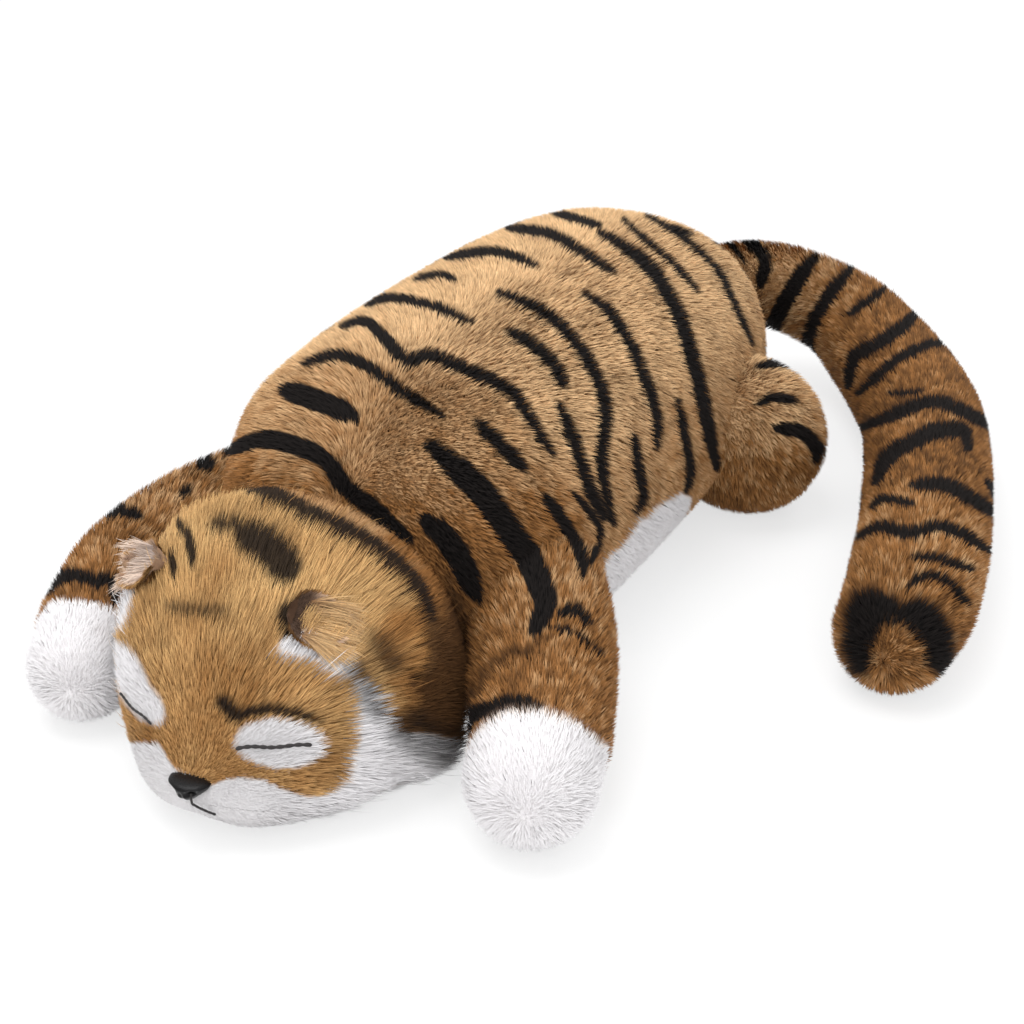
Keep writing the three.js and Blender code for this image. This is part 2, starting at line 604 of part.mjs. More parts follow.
function lowerHousing(outer, hollow, bosses, holes) {
  const bayWall = bayHalf + BAY.wall;
  const bayFront = BAY.front - BAY.wall;
  const bayBlock = join(
    box(-bayWall, bayWall, bayFront, bayBack + BAY.wall, floorTop - THROUGH, shelfTop),
    box(-BAY.shelf, BAY.shelf, bayFront, podBack - POD.wall + THROUGH, bayTop, shelfTop),
  );
  const bayHollow = box(-bayHalf, bayHalf, BAY.front, bayBack, POD.floor - THROUGH, bayTop);
  const boardPosts = [-1, 1].flatMap((side) =>
    [BOARD.front + BOARD.inset, BOARD.back - BOARD.inset].map((y) => {
      const x = side * (bossInner - BOARD.side - BOARD.inset);
      return rod(BOARD.post, [x, y, floorTop - THROUGH], [x, y, BOARD.z - GAP], 10);
    }),
  );
  const slotHalf = (SLIDER.knobWidth + SLIDER.stroke) / 2 + RUN;
  const slotSide = SLIDER.knob / 2 + RUN;
  const slot = box(
    -slotHalf, slotHalf, SLIDER.y - slotSide, SLIDER.y + slotSide, POD.floor - THROUGH, floorTop + THROUGH,
  );
  const grille = Array.from({ length: GRILLE.slots }, (_, i) => {
    const away = (i - (GRILLE.slots - 1) / 2) * GRILLE.pitch;
    const half = Math.sqrt((SPEAKER.radius - GRILLE.rim) ** 2 - away ** 2);
    const y = SPEAKER.y + away;
    return box(-half, half, y - GRILLE.wide / 2, y + GRILLE.wide / 2, POD.floor - THROUGH, floorTop + THROUGH);
  });
  const tray = cut(outer(POD.floor, POD.split), hollow(floorTop, POD.split + THROUGH));
  return cut(
    join(tray, bayBlock, boardPosts, bosses(floorTop - THROUGH, POD.split)),
    bayHollow, slot, grille, holes,
  );
}

function upperHousing(outer, hollow, bosses, holes) {
  const footRoom = CAM.low + THROUGH;
  const window = box(
    camX - LUNG.room, camX + CAM.wide + LUNG.room, camY - footRoom, camY + footRoom,
    roofUnder - THROUGH, roof + THROUGH,
  );
  const lugs = [-1, 1].map((side) => {
    const [x0, x1] = side < 0 ? [-lugOut, -lugIn] : [lugIn, lugOut];
    return join(
      box(x0, x1, pinY - LUNG.barrel, pinY + LUNG.barrel, roof - THROUGH, pinZ),
      rod(LUNG.barrel, [x0, pinY, pinZ], [x1, pinY, pinZ]),
    );
  });
  const tactPosts = [-1, 1].map((side) => {
    const x = side * (TACT.boardHalf - TACT.post);
    return rod(TACT.post, [x, PAT.y, tactTop - TACT.thick + GAP], [x, PAT.y, roofUnder + THROUGH], 10);
  });
  const bottom = POD.split + GAP;
  const lid = cut(outer(bottom, roof), hollow(POD.split - THROUGH, roofUnder));
  return cut(
    join(lid, lugs, tactPosts, bosses(bottom, POD.split + SCREW.reach + POD.wall)),
    window,
    rod(LUNG.pin + RUN, [-podHalf, pinY, pinZ], [podHalf, pinY, pinZ], 12),
    rod(PAT.stem + RUN, [0, PAT.y, roofUnder - THROUGH], [0, PAT.y, roof + THROUGH], 16),
    holes,
  );
}

// Batteries, contacts and door

function batteries() {
  const places = Array.from({ length: CELL.count }, (_, i) => (i - (CELL.count - 1) / 2) * cellPitch);
  const shoulder = CELL.length - CELL.nubLength;
  places.forEach((x, i) => {
    const turned = i % 2 === 1;
    const cell = lathe([
      [0, 0], [CELL.radius, 0], [CELL.radius, shoulder], [CELL.nub, shoulder], [CELL.nub, CELL.length],
      [0, CELL.length],
    ], 18).rotate([turned ? 90 : -90, 0, 0]);
    const placed = cell.translate([x, turned ? cellBack : cellFront, cellZ]);
    add("battery_cell_" + (i + 1), placed, materials.cellSleeve);
  });
  const half = bayHalf - GAP;
  const strip = (y) => box(
    -half, half, y, y + CONTACT.thick, cellZ - CONTACT.height / 2, cellZ + CONTACT.height / 2,
  );
  add("contact_strip_front", strip(BAY.front + GAP), materials.steel);
  const springEnd = cellBack + GAP + CONTACT.spring;
  const rise = CONTACT.spring / 3;
  const springs = places.map((x) =>
    lathe([0, 1, 2].flatMap((turn) => {
      const radius = CONTACT.springRadius - turn * rise;
      return [[turn === 0 ? 0 : radius, turn * rise], [radius, turn * rise], [radius, (turn + 1) * rise]];
    }).concat([[0, CONTACT.spring]]), 10).rotate([90, 0, 0]).translate([x, springEnd, cellZ]),
  );
  add("contact_strip_rear", join(strip(springEnd - GEAR.sunk), springs), materials.steel);
  door(half);
}

function door(half) {
  const front = BAY.front + GAP;
  const screwY = front + DOOR.screwInset;
  const plate = box(-half, half, front, doorBack, POD.floor, POD.floor + DOOR.thick);
  const ribs = [-1, 0, 1].map((i) => {
    const x = i * DOOR.ribPitch;
    return box(x - DOOR.rib / 2, x + DOOR.rib / 2, front + DOOR.ribFront, doorBack - DOOR.ribBack,
      POD.floor - DOOR.ribDepth, POD.floor + DOOR.thick / 2);
  });
  const along = (radius, z0, z1, sides) => rod(radius, [0, screwY, z0], [0, screwY, z1], sides);
  const inside = POD.floor + DOOR.thick;
  const hole = along(SCREW.shank + RUN, POD.floor - THROUGH, inside + THROUGH, SHANK_SIDES);
  add("battery_door", cut(join(plate, ribs), hole), materials.greyPlastic);
  const headTop = POD.floor - GAP;
  const screw = join(
    along(SCREW.head, headTop - SCREW.headThick / 2, headTop, SHAFT_SIDES),
    along(SCREW.shank, headTop - SCREW.headThick / 4, inside, SHANK_SIDES),
  );
  add("battery_door_screw", screw, materials.steel);
}

// Power switch and pat button

function controls() {
  const bottom = floorTop + GAP;
  const off = -SLIDER.stroke / 2;
  const slider = join(
    box(off - SLIDER.base / 2, off + SLIDER.base / 2, SLIDER.y - SLIDER.baseDepth / 2,
      SLIDER.y + SLIDER.baseDepth / 2, bottom, bottom + SLIDER.baseThick),
    box(off - SLIDER.knobWidth / 2, off + SLIDER.knobWidth / 2, SLIDER.y - SLIDER.knob / 2,
      SLIDER.y + SLIDER.knob / 2, POD.floor - SLIDER.stand, bottom + SLIDER.baseThick / 2),
  );
  add("power_slider", slider, materials.blackPlastic);
  const halfWidth = SWITCH.width / 2;
  const halfDepth = SWITCH.depth / 2;
  const track = box(
    SWITCH.wall - halfWidth, halfWidth - SWITCH.wall, SLIDER.y + SWITCH.wall - halfDepth,
    SLIDER.y + halfDepth - SWITCH.wall, bottom - THROUGH, bottom + SLIDER.baseThick + RUN,
  );
  const body = box(
    -halfWidth, halfWidth, SLIDER.y - halfDepth, SLIDER.y + halfDepth, bottom, bottom + SWITCH.height,
  );
  add("power_switch", cut(body, track), materials.blackPlastic);

  const capBottom = roof + PAT.lift;
  const capTop = capBottom + PAT.capThick;
  const stemEnd = capBottom - PAT.stemLength;
  const button = lathe([
    [0, stemEnd], [PAT.stem, stemEnd], [PAT.stem, capBottom], [PAT.cap, capBottom],
    [PAT.cap, capTop - PAT.edge], [PAT.cap - PAT.edge, capTop], [0, capTop],
  ], 20).translate([0, PAT.y, 0]);
  add("pat_button", button, materials.whitePlastic);
  const boardTop = tactTop - TACT.thick;
  const centred = (half, depth, z0, z1) => box(-half, half, PAT.y - depth / 2, PAT.y + depth / 2, z0, z1);
  const tact = join(
    centred(TACT.boardHalf, TACT.boardDepth, boardTop - TACT.boardThick, boardTop),
    centred(TACT.size / 2, TACT.size, boardTop - TACT.boardThick / 2, tactTop - TACT.plungerRise),
    rod(TACT.plunger, [0, PAT.y, boardTop], [0, PAT.y, tactTop], 12),
  );
  add("pat_switch", tact, materials.board);
}

// Circuit board and speaker

function electronics() {
  const half = bossInner - BOARD.side;
  const top = BOARD.z + BOARD.thick;
  add("circuit_board", box(-half, half, BOARD.front, BOARD.back, BOARD.z, top), materials.board);
  const chipHalf = CHIP.size / 2;
  add("control_chip",
    box(-chipHalf, chipHalf, CHIP.y - chipHalf, CHIP.y + chipHalf, top + GAP, top + GAP + CHIP.thick),
    materials.blackPlastic);
  const bottom = floorTop + GAP;
  const mouth = SPEAKER.radius - SPEAKER.rim;
  const back = bottom + SPEAKER.depth;
  const frame = lathe([
    [0, bottom + SPEAKER.coneBase], [mouth - SPEAKER.cone, bottom + SPEAKER.rim / 2], [mouth, bottom],
    [SPEAKER.radius, bottom], [SPEAKER.radius, bottom + SPEAKER.rim], [SPEAKER.magnet, back], [0, back],
  ], 24).translate([0, SPEAKER.y, 0]);
  add("speaker_frame", frame, materials.blackPlastic);
  const magnet = rod(
    SPEAKER.magnet, [0, SPEAKER.y, back + GAP], [0, SPEAKER.y, back + GAP + SPEAKER.magnetDepth],
  );
  add("speaker_magnet", magnet, materials.steel);
}

// Gear train

// A gear's outline: teeth with straight flanks, one of them centred at the turn given in teeth.
function gearOutline(teeth, phase) {
  const tip = pitchRadius(teeth) + MODULE * TOOTH.above;
  const root = pitchRadius(teeth) - MODULE * TOOTH.below;
  const step = (2 * Math.PI) / teeth;
  const shape = new THREE.Shape();
  const corners = [[root, -TOOTH.root], [tip, -TOOTH.tip], [tip, TOOTH.tip], [root, TOOTH.root]];
  for (let i = 0; i < teeth; i++) {
    corners.forEach(([radius, share], k) => {
      const angle = (i + phase + share) * step;
      const y = radius * Math.cos(angle);
      const z = radius * Math.sin(angle);
      if (i === 0 && k === 0) shape.moveTo(y, z);
      else shape.lineTo(y, z);
    });
  }
  return shape;
}

// The cam's outline rises evenly over half a turn and falls evenly over the other half.
function camOutline() {
  const shape = new THREE.Shape();
  for (let i = 0; i < CAM.steps; i++) {
    const turn = (2 * i) / CAM.steps;
    const radius = CAM.low + CAM.rise * Math.abs(turn - 1);
    const angle = Math.PI * (0.5 + turn);
    const point = [radius * Math.cos(angle), radius * Math.sin(angle)];
    if (i === 0) shape.moveTo(...point);
    else shape.lineTo(...point);
  }
  return shape;
}

function gearAt(teeth, phase, y, x0, x1) {
  return slabAlongX(gearOutline(teeth, phase), x0, x1).translate([0, y, GEAR.z]);
}

// A cylinder along X through the gear train.
const across = (radius, y, x0, x1, sides = 14) => rod(radius, [x0, y, GEAR.z], [x1, y, GEAR.z], sides);
const axleEnd = plateOuter + PLATE.thick;
const bore = (y) => across(GEAR.axle + RUN, y, PLATE.inner - THROUGH, axleEnd + THROUGH);

function gears() {
  const pinionEnd = firstX + GEAR.narrow;
  const pinion = cut(
    gearAt(TEETH.pinion, 0, motorY, firstX, pinionEnd),
    across(MOTOR.shaft + RUN, motorY, firstX - THROUGH, pinionEnd + THROUGH, SHAFT_SIDES),
  );
  add("motor_pinion", pinion, materials.brass);

  // A tooth of each gear points along Y, and the next gear has a space there.
  const wheelEnd = firstX + GEAR.wide;
  const compound = join(
    gearAt(TEETH.wheel, 0.5, compoundY, firstX, wheelEnd),
    gearAt(TEETH.smallWheel, 0.5, compoundY, wheelEnd - GEAR.sunk, secondX + GEAR.narrow),
  );
  add("compound_gear", cut(compound, bore(compoundY)), materials.whitePlastic);
  const camGearEnd = secondX + GEAR.wide;
  const cam = join(
    gearAt(TEETH.wheel, 0, camY, secondX, camGearEnd),
    slabAlongX(camOutline(), camGearEnd - GEAR.sunk, camX + CAM.wide).translate([0, camY, GEAR.z]),
  );
  add("cam_gear", cut(cam, bore(camY)), materials.whitePlastic);
  add("compound_axle", across(GEAR.axle, compoundY, PLATE.inner, axleEnd), materials.steel);
  add("cam_axle", across(GEAR.axle, camY, PLATE.inner, axleEnd), materials.steel);
  gearPlates();
  motor(pinionEnd);
}

const motorScrewHeights = [-1, 1].map((side) => GEAR.z + side * MOTOR.screw);

function gearPlates() {
  const front = camY - PLATE.margin;
  const back = podBack - POD.wall - GAP;
  const bottom = shelfTop + GAP;
  const plate = (x) => box(x, x + PLATE.thick, front, back, bottom, plateTop);
  const posts = [front + PLATE.postInset, back - PLATE.postInset].flatMap((y) =>
    [bottom + PLATE.postInset, plateTop - PLATE.postInset].map((z) =>
      rod(PLATE.post, [plateFace - THROUGH, y, z], [plateOuter - GAP, y, z], 10),
    ),
  );
  const inner = [PLATE.inner - THROUGH, plateFace + THROUGH];
  const holes = [
    across(MOTOR.boss + GAP, motorY, ...inner),
    ...motorScrewHeights.map((z) =>
      rod(MOTOR.screwRadius + RUN, [inner[0], motorY, z], [inner[1], motorY, z], SHANK_SIDES),
    ),
  ];
  const bores = [bore(compoundY), bore(camY)];
  add("gear_plate_inner", largest(cut(join(plate(PLATE.inner), posts), bores, holes)), materials.steel);
  add("gear_plate_outer", largest(cut(plate(plateOuter), bores)), materials.steel);
}

function motor(shaftEnd) {
  const face = PLATE.inner - GAP;
  const along = (radius, z, x0, x1, sides) => rod(radius, [x0, motorY, z], [x1, motorY, z], sides);
  const can = join(
    across(MOTOR.radius, motorY, face - MOTOR.length, face, 20),
    across(MOTOR.boss, motorY, face - THROUGH, plateFace - GAP),
    across(MOTOR.shaft, motorY, face - THROUGH, shaftEnd, SHAFT_SIDES),
  );
  const screwHoles = motorScrewHeights.map((z) =>
    along(MOTOR.screwRadius + RUN, z, face - MOTOR.screwReach - GAP, face + THROUGH, SHANK_SIDES),
  );
  add("motor", cut(can, screwHoles), materials.steel);
  const head = plateFace + MOTOR_SCREW_HEAD.gap;
  const headEnd = head + MOTOR_SCREW_HEAD.thick;
  motorScrewHeights.forEach((z, i) => {
    const screw = join(
      along(MOTOR.screwRadius, z, face - MOTOR.screwReach, headEnd - MOTOR_SCREW_HEAD.gap, SHANK_SIDES),
      along(MOTOR.screwHead, z, head, headEnd, SHAFT_SIDES),
    );
    add("motor_screw_" + (i + 1), screw, materials.steel);
  });
}

// Breathing plate

function lung() {
  const top = lungUnder + LUNG.thick;
  const footX = camX + (CAM.wide - LUNG.footWide) / 2;
  const footZ = GEAR.z + CAM.low + GAP + LUNG.foot;
  const barrels = [-1, 1].map((side) =>
    rod(LUNG.barrel, [side * LUNG.barrelIn, pinY, pinZ], [side * LUNG.barrelOut, pinY, pinZ], 16),
  );
  const plate = join(
    box(-LUNG.halfWidth, LUNG.halfWidth, LUNG.front, LUNG.waist, lungUnder, top),
    box(-LUNG.barrelOut, LUNG.barrelOut, LUNG.waist - THROUGH, pinY, lungUnder, top),
    barrels,
    box(footX, footX + LUNG.footWide, camY - LUNG.foot, camY + LUNG.foot, footZ, lungUnder + THROUGH),
    rod(LUNG.foot, [footX, camY, footZ], [footX + LUNG.footWide, camY, footZ], 14),
  );
  const slotHalf = LUNG.barrelIn - THROUGH;
  const slotReach = LUNG.barrel + LUNG.room;
  const slot = box(
    -slotHalf, slotHalf, pinY - slotReach, pinY + slotReach, lungUnder - slotReach, top + slotReach,
  );
  const pinHole = rod(LUNG.pin + RUN, [-podHalf, pinY, pinZ], [podHalf, pinY, pinZ], 12);
  // The plate is drawn lowered, and raised here to where the cam holds it at rest.
  const raised = aboutX(cut(plate, slot, pinHole), pinY, pinZ, -LUNG.angle);
  add("breathing_plate", largest(raised), materials.whitePlastic);
  add("breathing_pin", rod(LUNG.pin, [-lugOut, pinY, pinZ], [lugOut, pinY, pinZ], 12), materials.steel);
}

torso();
head();
limbs();
housing();
batteries();
controls();
electronics();
gears();
lung();

export default toy;
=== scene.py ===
# A sleeping plush tiger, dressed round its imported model. Sizes are millimetres unless they say otherwise.
# The toy lies on its belly at z = 0, its face points along -Y and its left side is +X.
import math

import bmesh
import bpy
import numpy as np
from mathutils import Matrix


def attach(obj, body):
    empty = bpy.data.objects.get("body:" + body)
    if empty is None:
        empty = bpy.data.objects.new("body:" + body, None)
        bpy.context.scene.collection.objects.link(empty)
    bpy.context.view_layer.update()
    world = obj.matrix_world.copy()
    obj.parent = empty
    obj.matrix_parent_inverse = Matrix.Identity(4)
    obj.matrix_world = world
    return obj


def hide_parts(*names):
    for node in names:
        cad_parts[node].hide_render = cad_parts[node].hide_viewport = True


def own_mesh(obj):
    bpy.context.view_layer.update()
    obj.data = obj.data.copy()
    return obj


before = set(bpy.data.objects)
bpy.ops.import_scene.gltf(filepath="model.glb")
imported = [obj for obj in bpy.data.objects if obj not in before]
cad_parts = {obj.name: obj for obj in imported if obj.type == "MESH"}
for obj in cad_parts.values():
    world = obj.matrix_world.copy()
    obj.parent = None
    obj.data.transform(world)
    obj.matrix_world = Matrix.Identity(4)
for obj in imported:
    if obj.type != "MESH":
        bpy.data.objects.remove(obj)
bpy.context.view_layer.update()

MM = 0.001
FLAT = 0.5  # depth to which a stuffed form is pressed flat on the ground
SKIN = 3.7  # how far a short pile's backing lies under the outline that the pile's tips reach
GROUND = 0.35  # the lowest that backing and pile reach
SEED = 20

# Camera, fitted to the photo: angles in degrees, distance and target in mm, focal length in pixels
FRAME = 1024
VIEW = {"azimuth": 27, "elevation": 27, "distance": 855, "target": (13.5, -30, 30), "focal": 1900}
SENSOR = 36

# Torso and head: rows of place along Y, half width, top, height of the widest line, bottom
TORSO = [
    [-160, 36, 84, 46, 16],
    [-142, 65, 107, 49, 5],
    [-98, 84, 131, 53, 0],
    [-30, 87, 134, 54, -FLAT],
    [45, 86, 133, 55, -FLAT],
    [112, 79, 127, 55, -FLAT],
    [152, 63, 112, 54, 0],
    [174, 43, 91, 51, 11],
    [184, 15, 63, 46, 30],
]
HEAD = [
    [-263, 12, 30, 21, 13],
    [-256, 28, 42, 22, 8],
    [-243, 43, 58, 26, 3],
    [-225, 56, 72, 33, 0],
    [-199, 64, 85, 38, -FLAT],
    [-172, 64, 92, 42, -FLAT],
    [-146, 52, 88, 43, 5],
    [-124, 30, 68, 42, 14],
]
LEAN = {"shift": 3, "slope": -0.22, "z": 22}  # the limp head leans to its right
UPRIGHT = {"shift": 0, "slope": 0, "z": 0}
ROUND_TOP = 2.3  # exponent of the section above its widest line
ROUND_BOTTOM = 2.8
CHIN_SEAM = {"front": 19, "back": 7, "frontY": -262, "backY": -190}
BELLY_SEAM = 9.5

# Limbs: rows of x, y, radius and how far the underside is above the ground that the limb is pressed on
FRONT_LEFT = [[56, -101, 31, 18.5], [80, -135, 30, 6.5], [99, -172, 27, 1], [111, -206, 26, 0]]
FRONT_RIGHT = [
    [-62, -94, 29, 21.5], [-87, -120, 27, 16.5], [-102, -152, 25.5, 8], [-97, -184, 24.5, 1],
    [-84, -213, 23, 0],
]
HIND_LEFT = [[67, 70, 23, 20.5], [76, 77, 36, 4.5], [83, 81, 38, 0], [87, 83, 33, 1]]
HIND_RIGHT = [[-x, *rest] for x, *rest in HIND_LEFT]
TAIL = [
    [0, 166, 20, 42.5], [30, 224, 23, 37], [73, 240, 25.5, 21], [110, 214, 28.5, 5.5],
    [151, 148, 30, 0], [180, 53, 29.5, 0], [194, -16, 28.5, 0], [196, -46, 25.5, 0],
]
WRIST_LEFT, WRIST_RIGHT, TAIL_TIP = 0.82, 0.86, 0.88  # shares of a limb's line where its end piece begins


def unit(v):
    v = np.asarray(v, float)
    return v / np.maximum(np.linalg.norm(v, axis=-1, keepdims=True), 1e-9)


def ease(low, high, x):
    """0 below low, 1 above high, and smooth between."""
    t = np.clip((np.asarray(x, float) - low) / (high - low), 0, 1)
    return t * t * (3 - 2 * t)


def dot(a, b):
    return (np.asarray(a) * np.asarray(b)).sum(-1)


def turns(sides):
    """Angles all round."""
    return 2 * np.pi * np.arange(sides) / sides


def all_round(side, high, sides):
    """Directions round each point of a line, from two that cross it there."""
    angle = turns(sides)
    return np.cos(angle)[:, None] * side[:, None] + np.sin(angle)[:, None] * high[:, None]


def lengthened(line):
    """A line with one more point at each end, so that a smooth curve can run through all of its own."""
    return np.vstack([2 * line[0] - line[1], line, 2 * line[-1] - line[-2]])


def between(a, b, c, d, t):
    """A Catmull-Rom curve from b to c, where t runs from 0 to 1, and a and d are the points beside them."""
    return b + t * (c - a) / 2 + t ** 2 * (a - 2.5 * b + 2 * c - d / 2) + t ** 3 * (3 * (b - c) + d - a) / 2


# The photo's view

def view_axes():
    a, e = math.radians(VIEW["azimuth"]), math.radians(VIEW["elevation"])
    back = np.array([math.sin(a) * math.cos(e), -math.cos(a) * math.cos(e), math.sin(e)])
    right = np.array([math.cos(a), math.sin(a), 0])
    return right, np.cross(back, right), back


RIGHT, UP, BACK = view_axes()
EYE_POINT = np.array(VIEW["target"], float) + BACK * VIEW["distance"]


def pixels(points):
    """Where points show in the photo's frame."""
    q = np.asarray(points, float) - EYE_POINT
    scale = VIEW["focal"] / -dot(q, BACK)
    return np.stack([FRAME / 2 + scale * dot(q, RIGHT), FRAME / 2 - scale * dot(q, UP)], -1)


# Smooth random values

LATTICE = np.random.default_rng(SEED).uniform(-1, 1, (32, 32, 32, 3)).astype(np.float32)


def noise(points, scale, shift=0.0):
    """Three smooth random values from -1 to 1 at each point, which change over about scale."""
    p = np.asarray(points, float) / scale + shift
    cell = np.floor(p).astype(int)
    t = p - cell
    t = t * t * (3 - 2 * t)
    total = 0
    for corner in np.ndindex(2, 2, 2):
        weight = np.prod(np.where(corner, t, 1 - t), -1, keepdims=True)
        at = (cell + corner) % len(LATTICE)
        total = total + weight * LATTICE[at[..., 0], at[..., 1], at[..., 2]]
    return total


# Forms

def smooth(rows, at):
    """Values of a smooth curve through rows, read at the first number. It never overshoots a row."""
    rows, at = np.asarray(rows, float), np.asarray(at, float)
    x, y = rows[:, 0], rows[:, 1:]
    span = np.diff(x)[:, None]
    slope = np.diff(y, axis=0) / span
    before, after = slope[:-1], slope[1:]
    same = before * after > 0
    middle = np.where(same, 2 * before * after / np.where(same, before + after, 1), 0)
    tangent = np.concatenate([slope[:1], middle, slope[-1:]])
    i = np.clip(np.searchsorted(x, at) - 1, 0, len(x) - 2)
    t = ((at - x[i]) / (x[i + 1] - x[i]))[..., None]
    rise = y[i + 1] - y[i]
    a = tangent[i] * span[i] - rise
    b = rise - tangent[i + 1] * span[i]
    return y[i] + rise * t + t * (1 - t) * (a * (1 - t) + b * t)


class Form:
    """A closed round form: a grid of rings by sides, with its normals and the way that its pile lies."""

    def __init__(self, grid, lumps=()):
        normal = self.normals_of(grid)
        for x, y, z, radius, rise in lumps:
            far = np.linalg.norm(grid - [x, y, z], axis=-1) / radius
            grid = grid + (rise * np.exp(-2 * far ** 2))[..., None] * normal
        grid[..., 2] = np.maximum(grid[..., 2], -FLAT)
        self.grid = grid
        self.normal = self.normals_of(grid)

    @staticmethod
    def normals_of(grid):
        around = np.roll(grid, -1, 1) - np.roll(grid, 1, 1)
        along = np.gradient(grid, axis=0)
        normal = np.cross(around, along)
        outward = dot(normal, grid - grid.mean((0, 1))).sum()
        normal = unit(normal if outward > 0 else -normal)
        for end, inner in ((0, 1), (-1, -2)):
            normal[end] = unit(normal[inner].sum(0))
        return normal

    def shrunk(self, inset):
        """The grid moved inwards, by a number or by a function of its points."""
        depth = np.asarray(inset(self.grid) if callable(inset) else inset, float)
        grid = self.grid - depth[..., None] * self.normal
        grid[..., 2] = np.maximum(grid[..., 2], GROUND)
        return grid


class Loft(Form):
    """A stuffed form that is lofted along Y through its rows."""

    END = (0.88, 0.74, 0.58, 0.42, 0.26, 0.12, 0.01)  # sizes of the rings that close an end

    def __init__(self, rows, lean, rings, sides, crown, flow, lumps=()):
        self.rows, self.lean = rows, lean
        front, back = rows[0][0], rows[-1][0]
        y = (front + back) / 2 - (back - front) / 2 * np.cos(np.pi * np.arange(rings + 1) / rings)
        body = self.section(y, sides)
        first, last = self.end(body[0], -crown), self.end(body[-1], crown)
        super().__init__(np.concatenate([first[::-1], body, last]), lumps)
        self.flow = flow(self.grid)

    def lean_at(self, z):
        return self.lean["shift"] + self.lean["slope"] * (z - self.lean["z"])

    def section(self, y, sides):
        half, top, middle, low = (smooth(self.rows, y)[:, k:k + 1] for k in range(4))
        c, s = np.cos(turns(sides)), np.sin(turns(sides))
        power = np.where(s >= 0, ROUND_TOP, ROUND_BOTTOM)
        reach = (np.abs(c) ** power + np.abs(s) ** power) ** (-1 / power)
        z = middle + s * reach * np.where(s >= 0, top - middle, middle - low)
        x = c * reach * half + self.lean_at(z)
        return np.stack([x, np.broadcast_to(y[:, None], x.shape), z], -1)

    def end(self, ring, crown):
        """Rings that close an end, from its edge to its middle, bulging by crown."""
        middle = ring.mean(0)
        rings = np.array([middle + (ring - middle) * share for share in self.END])
        for part, share in zip(rings, self.END):
            part[:, 1] += crown * (1 - share ** 2)
        return rings

    def depth(self, points):
        """How far points are inside, about."""
        y = np.clip(points[:, 1], self.rows[0][0], self.rows[-1][0])
        half, top, middle, low = smooth(self.rows, y).T
        over = points[:, 2] >= middle
        high = np.where(over, top - middle, middle - low)
        power = np.where(over, ROUND_TOP, ROUND_BOTTOM)
        x = np.abs(points[:, 0] - self.lean_at(points[:, 2])) / half
        z = np.abs(points[:, 2] - middle) / high
        level = (x ** power + z ** power) ** (1 / power)
        return np.minimum((1 - level) * np.minimum(half, high), 30) - np.abs(points[:, 1] - y)

    def front_at(self, x, z):
        """The place on the front of the form at each x and z."""
        front, back = self.rows[0][0], self.rows[-1][0]
        near, far = np.full(len(x), front - 8.0), np.full(len(x), (front + back) / 2)
        for _ in range(24):
            middle = (near + far) / 2
            inside = self.depth(np.stack([x, middle, z], -1)) > 0
            near, far = np.where(inside, near, middle), np.where(inside, middle, far)
        return np.stack([x, far, z], -1)


class Limb(Form):
    """A stuffed limb: a round tube along a line, with a ball at each end."""

    CAPS = np.radians([0.5, 8, 18, 30, 43, 56, 70, 80])

    def __init__(self, rows, steps, sides):
        self.rows = rows
        self.centres = np.array([[x, y, lift + radius - FLAT] for x, y, radius, lift in rows], float)
        share = np.linspace(0, 1, steps + 1)
        line, along, radius = self.line(share), self.along(share), self.radius(share)
        self.samples, self.reaches = line, radius
        first = [line[0] - along[0] * radius[0] * math.cos(a) for a in self.CAPS]
        last = [line[-1] + along[-1] * radius[-1] * math.cos(a) for a in self.CAPS[::-1]]
        middles = np.concatenate([first, line, last])
        ends = len(self.CAPS)
        ways = np.concatenate([np.repeat(along[:1], ends, 0), along, np.repeat(along[-1:], ends, 0)])
        reach = np.concatenate([radius[0] * np.sin(self.CAPS), radius, radius[-1] * np.sin(self.CAPS[::-1])])
        side = unit(np.cross(ways, [0, 0, 1.0]))
        high = np.cross(side, ways)
        super().__init__(middles[:, None] + reach[:, None, None] * all_round(side, high, sides))
        self.flow = -np.broadcast_to(ways[:, None], self.grid.shape)

    def line(self, share):
        """The middle line, at shares of it."""
        at = np.asarray(share, float) * (len(self.centres) - 1)
        i = np.clip(np.floor(at).astype(int), 0, len(self.centres) - 2)
        q = lengthened(self.centres)
        return between(q[i], q[i + 1], q[i + 2], q[i + 3], (at - i)[:, None])

    def along(self, share):
        near = 1e-3
        return unit(self.line(np.minimum(share + near, 1)) - self.line(np.maximum(share - near, 0)))

    def radius(self, share):
        rows = [[i, row[2]] for i, row in enumerate(self.rows)]
        return smooth(rows, np.asarray(share) * (len(rows) - 1))[:, 0]

    def nearest(self, points):
        """The index of the nearest of the limb's balls, and the distance to its surface."""
        best, index = np.full(len(points), np.inf), np.zeros(len(points), int)
        for k, middle in enumerate(self.samples):
            far = np.linalg.norm(points - middle, axis=1) - self.reaches[k]
            closer = far < best
            best[closer], index[closer] = far[closer], k
        return index, best

    def depth(self, points):
        return -self.nearest(points)[1]

    def turned_to_view(self, points):
        """Each point's twin on the side that the photo shows."""
        index, _ = self.nearest(points)
        middle = self.samples[index]
        way = self.along(np.linspace(0, 1, len(self.samples)))[index]
        across = unit(BACK - way * dot(BACK, way)[:, None])
        out = dot(points - middle, across)[:, None]
        return points + across * (np.abs(out) - out)

    def cut_at(self, share):
        """A point and a direction of the seam across the limb at this share of its line."""
        return self.line(np.array([share]))[0], self.along(np.array([share]))[0]


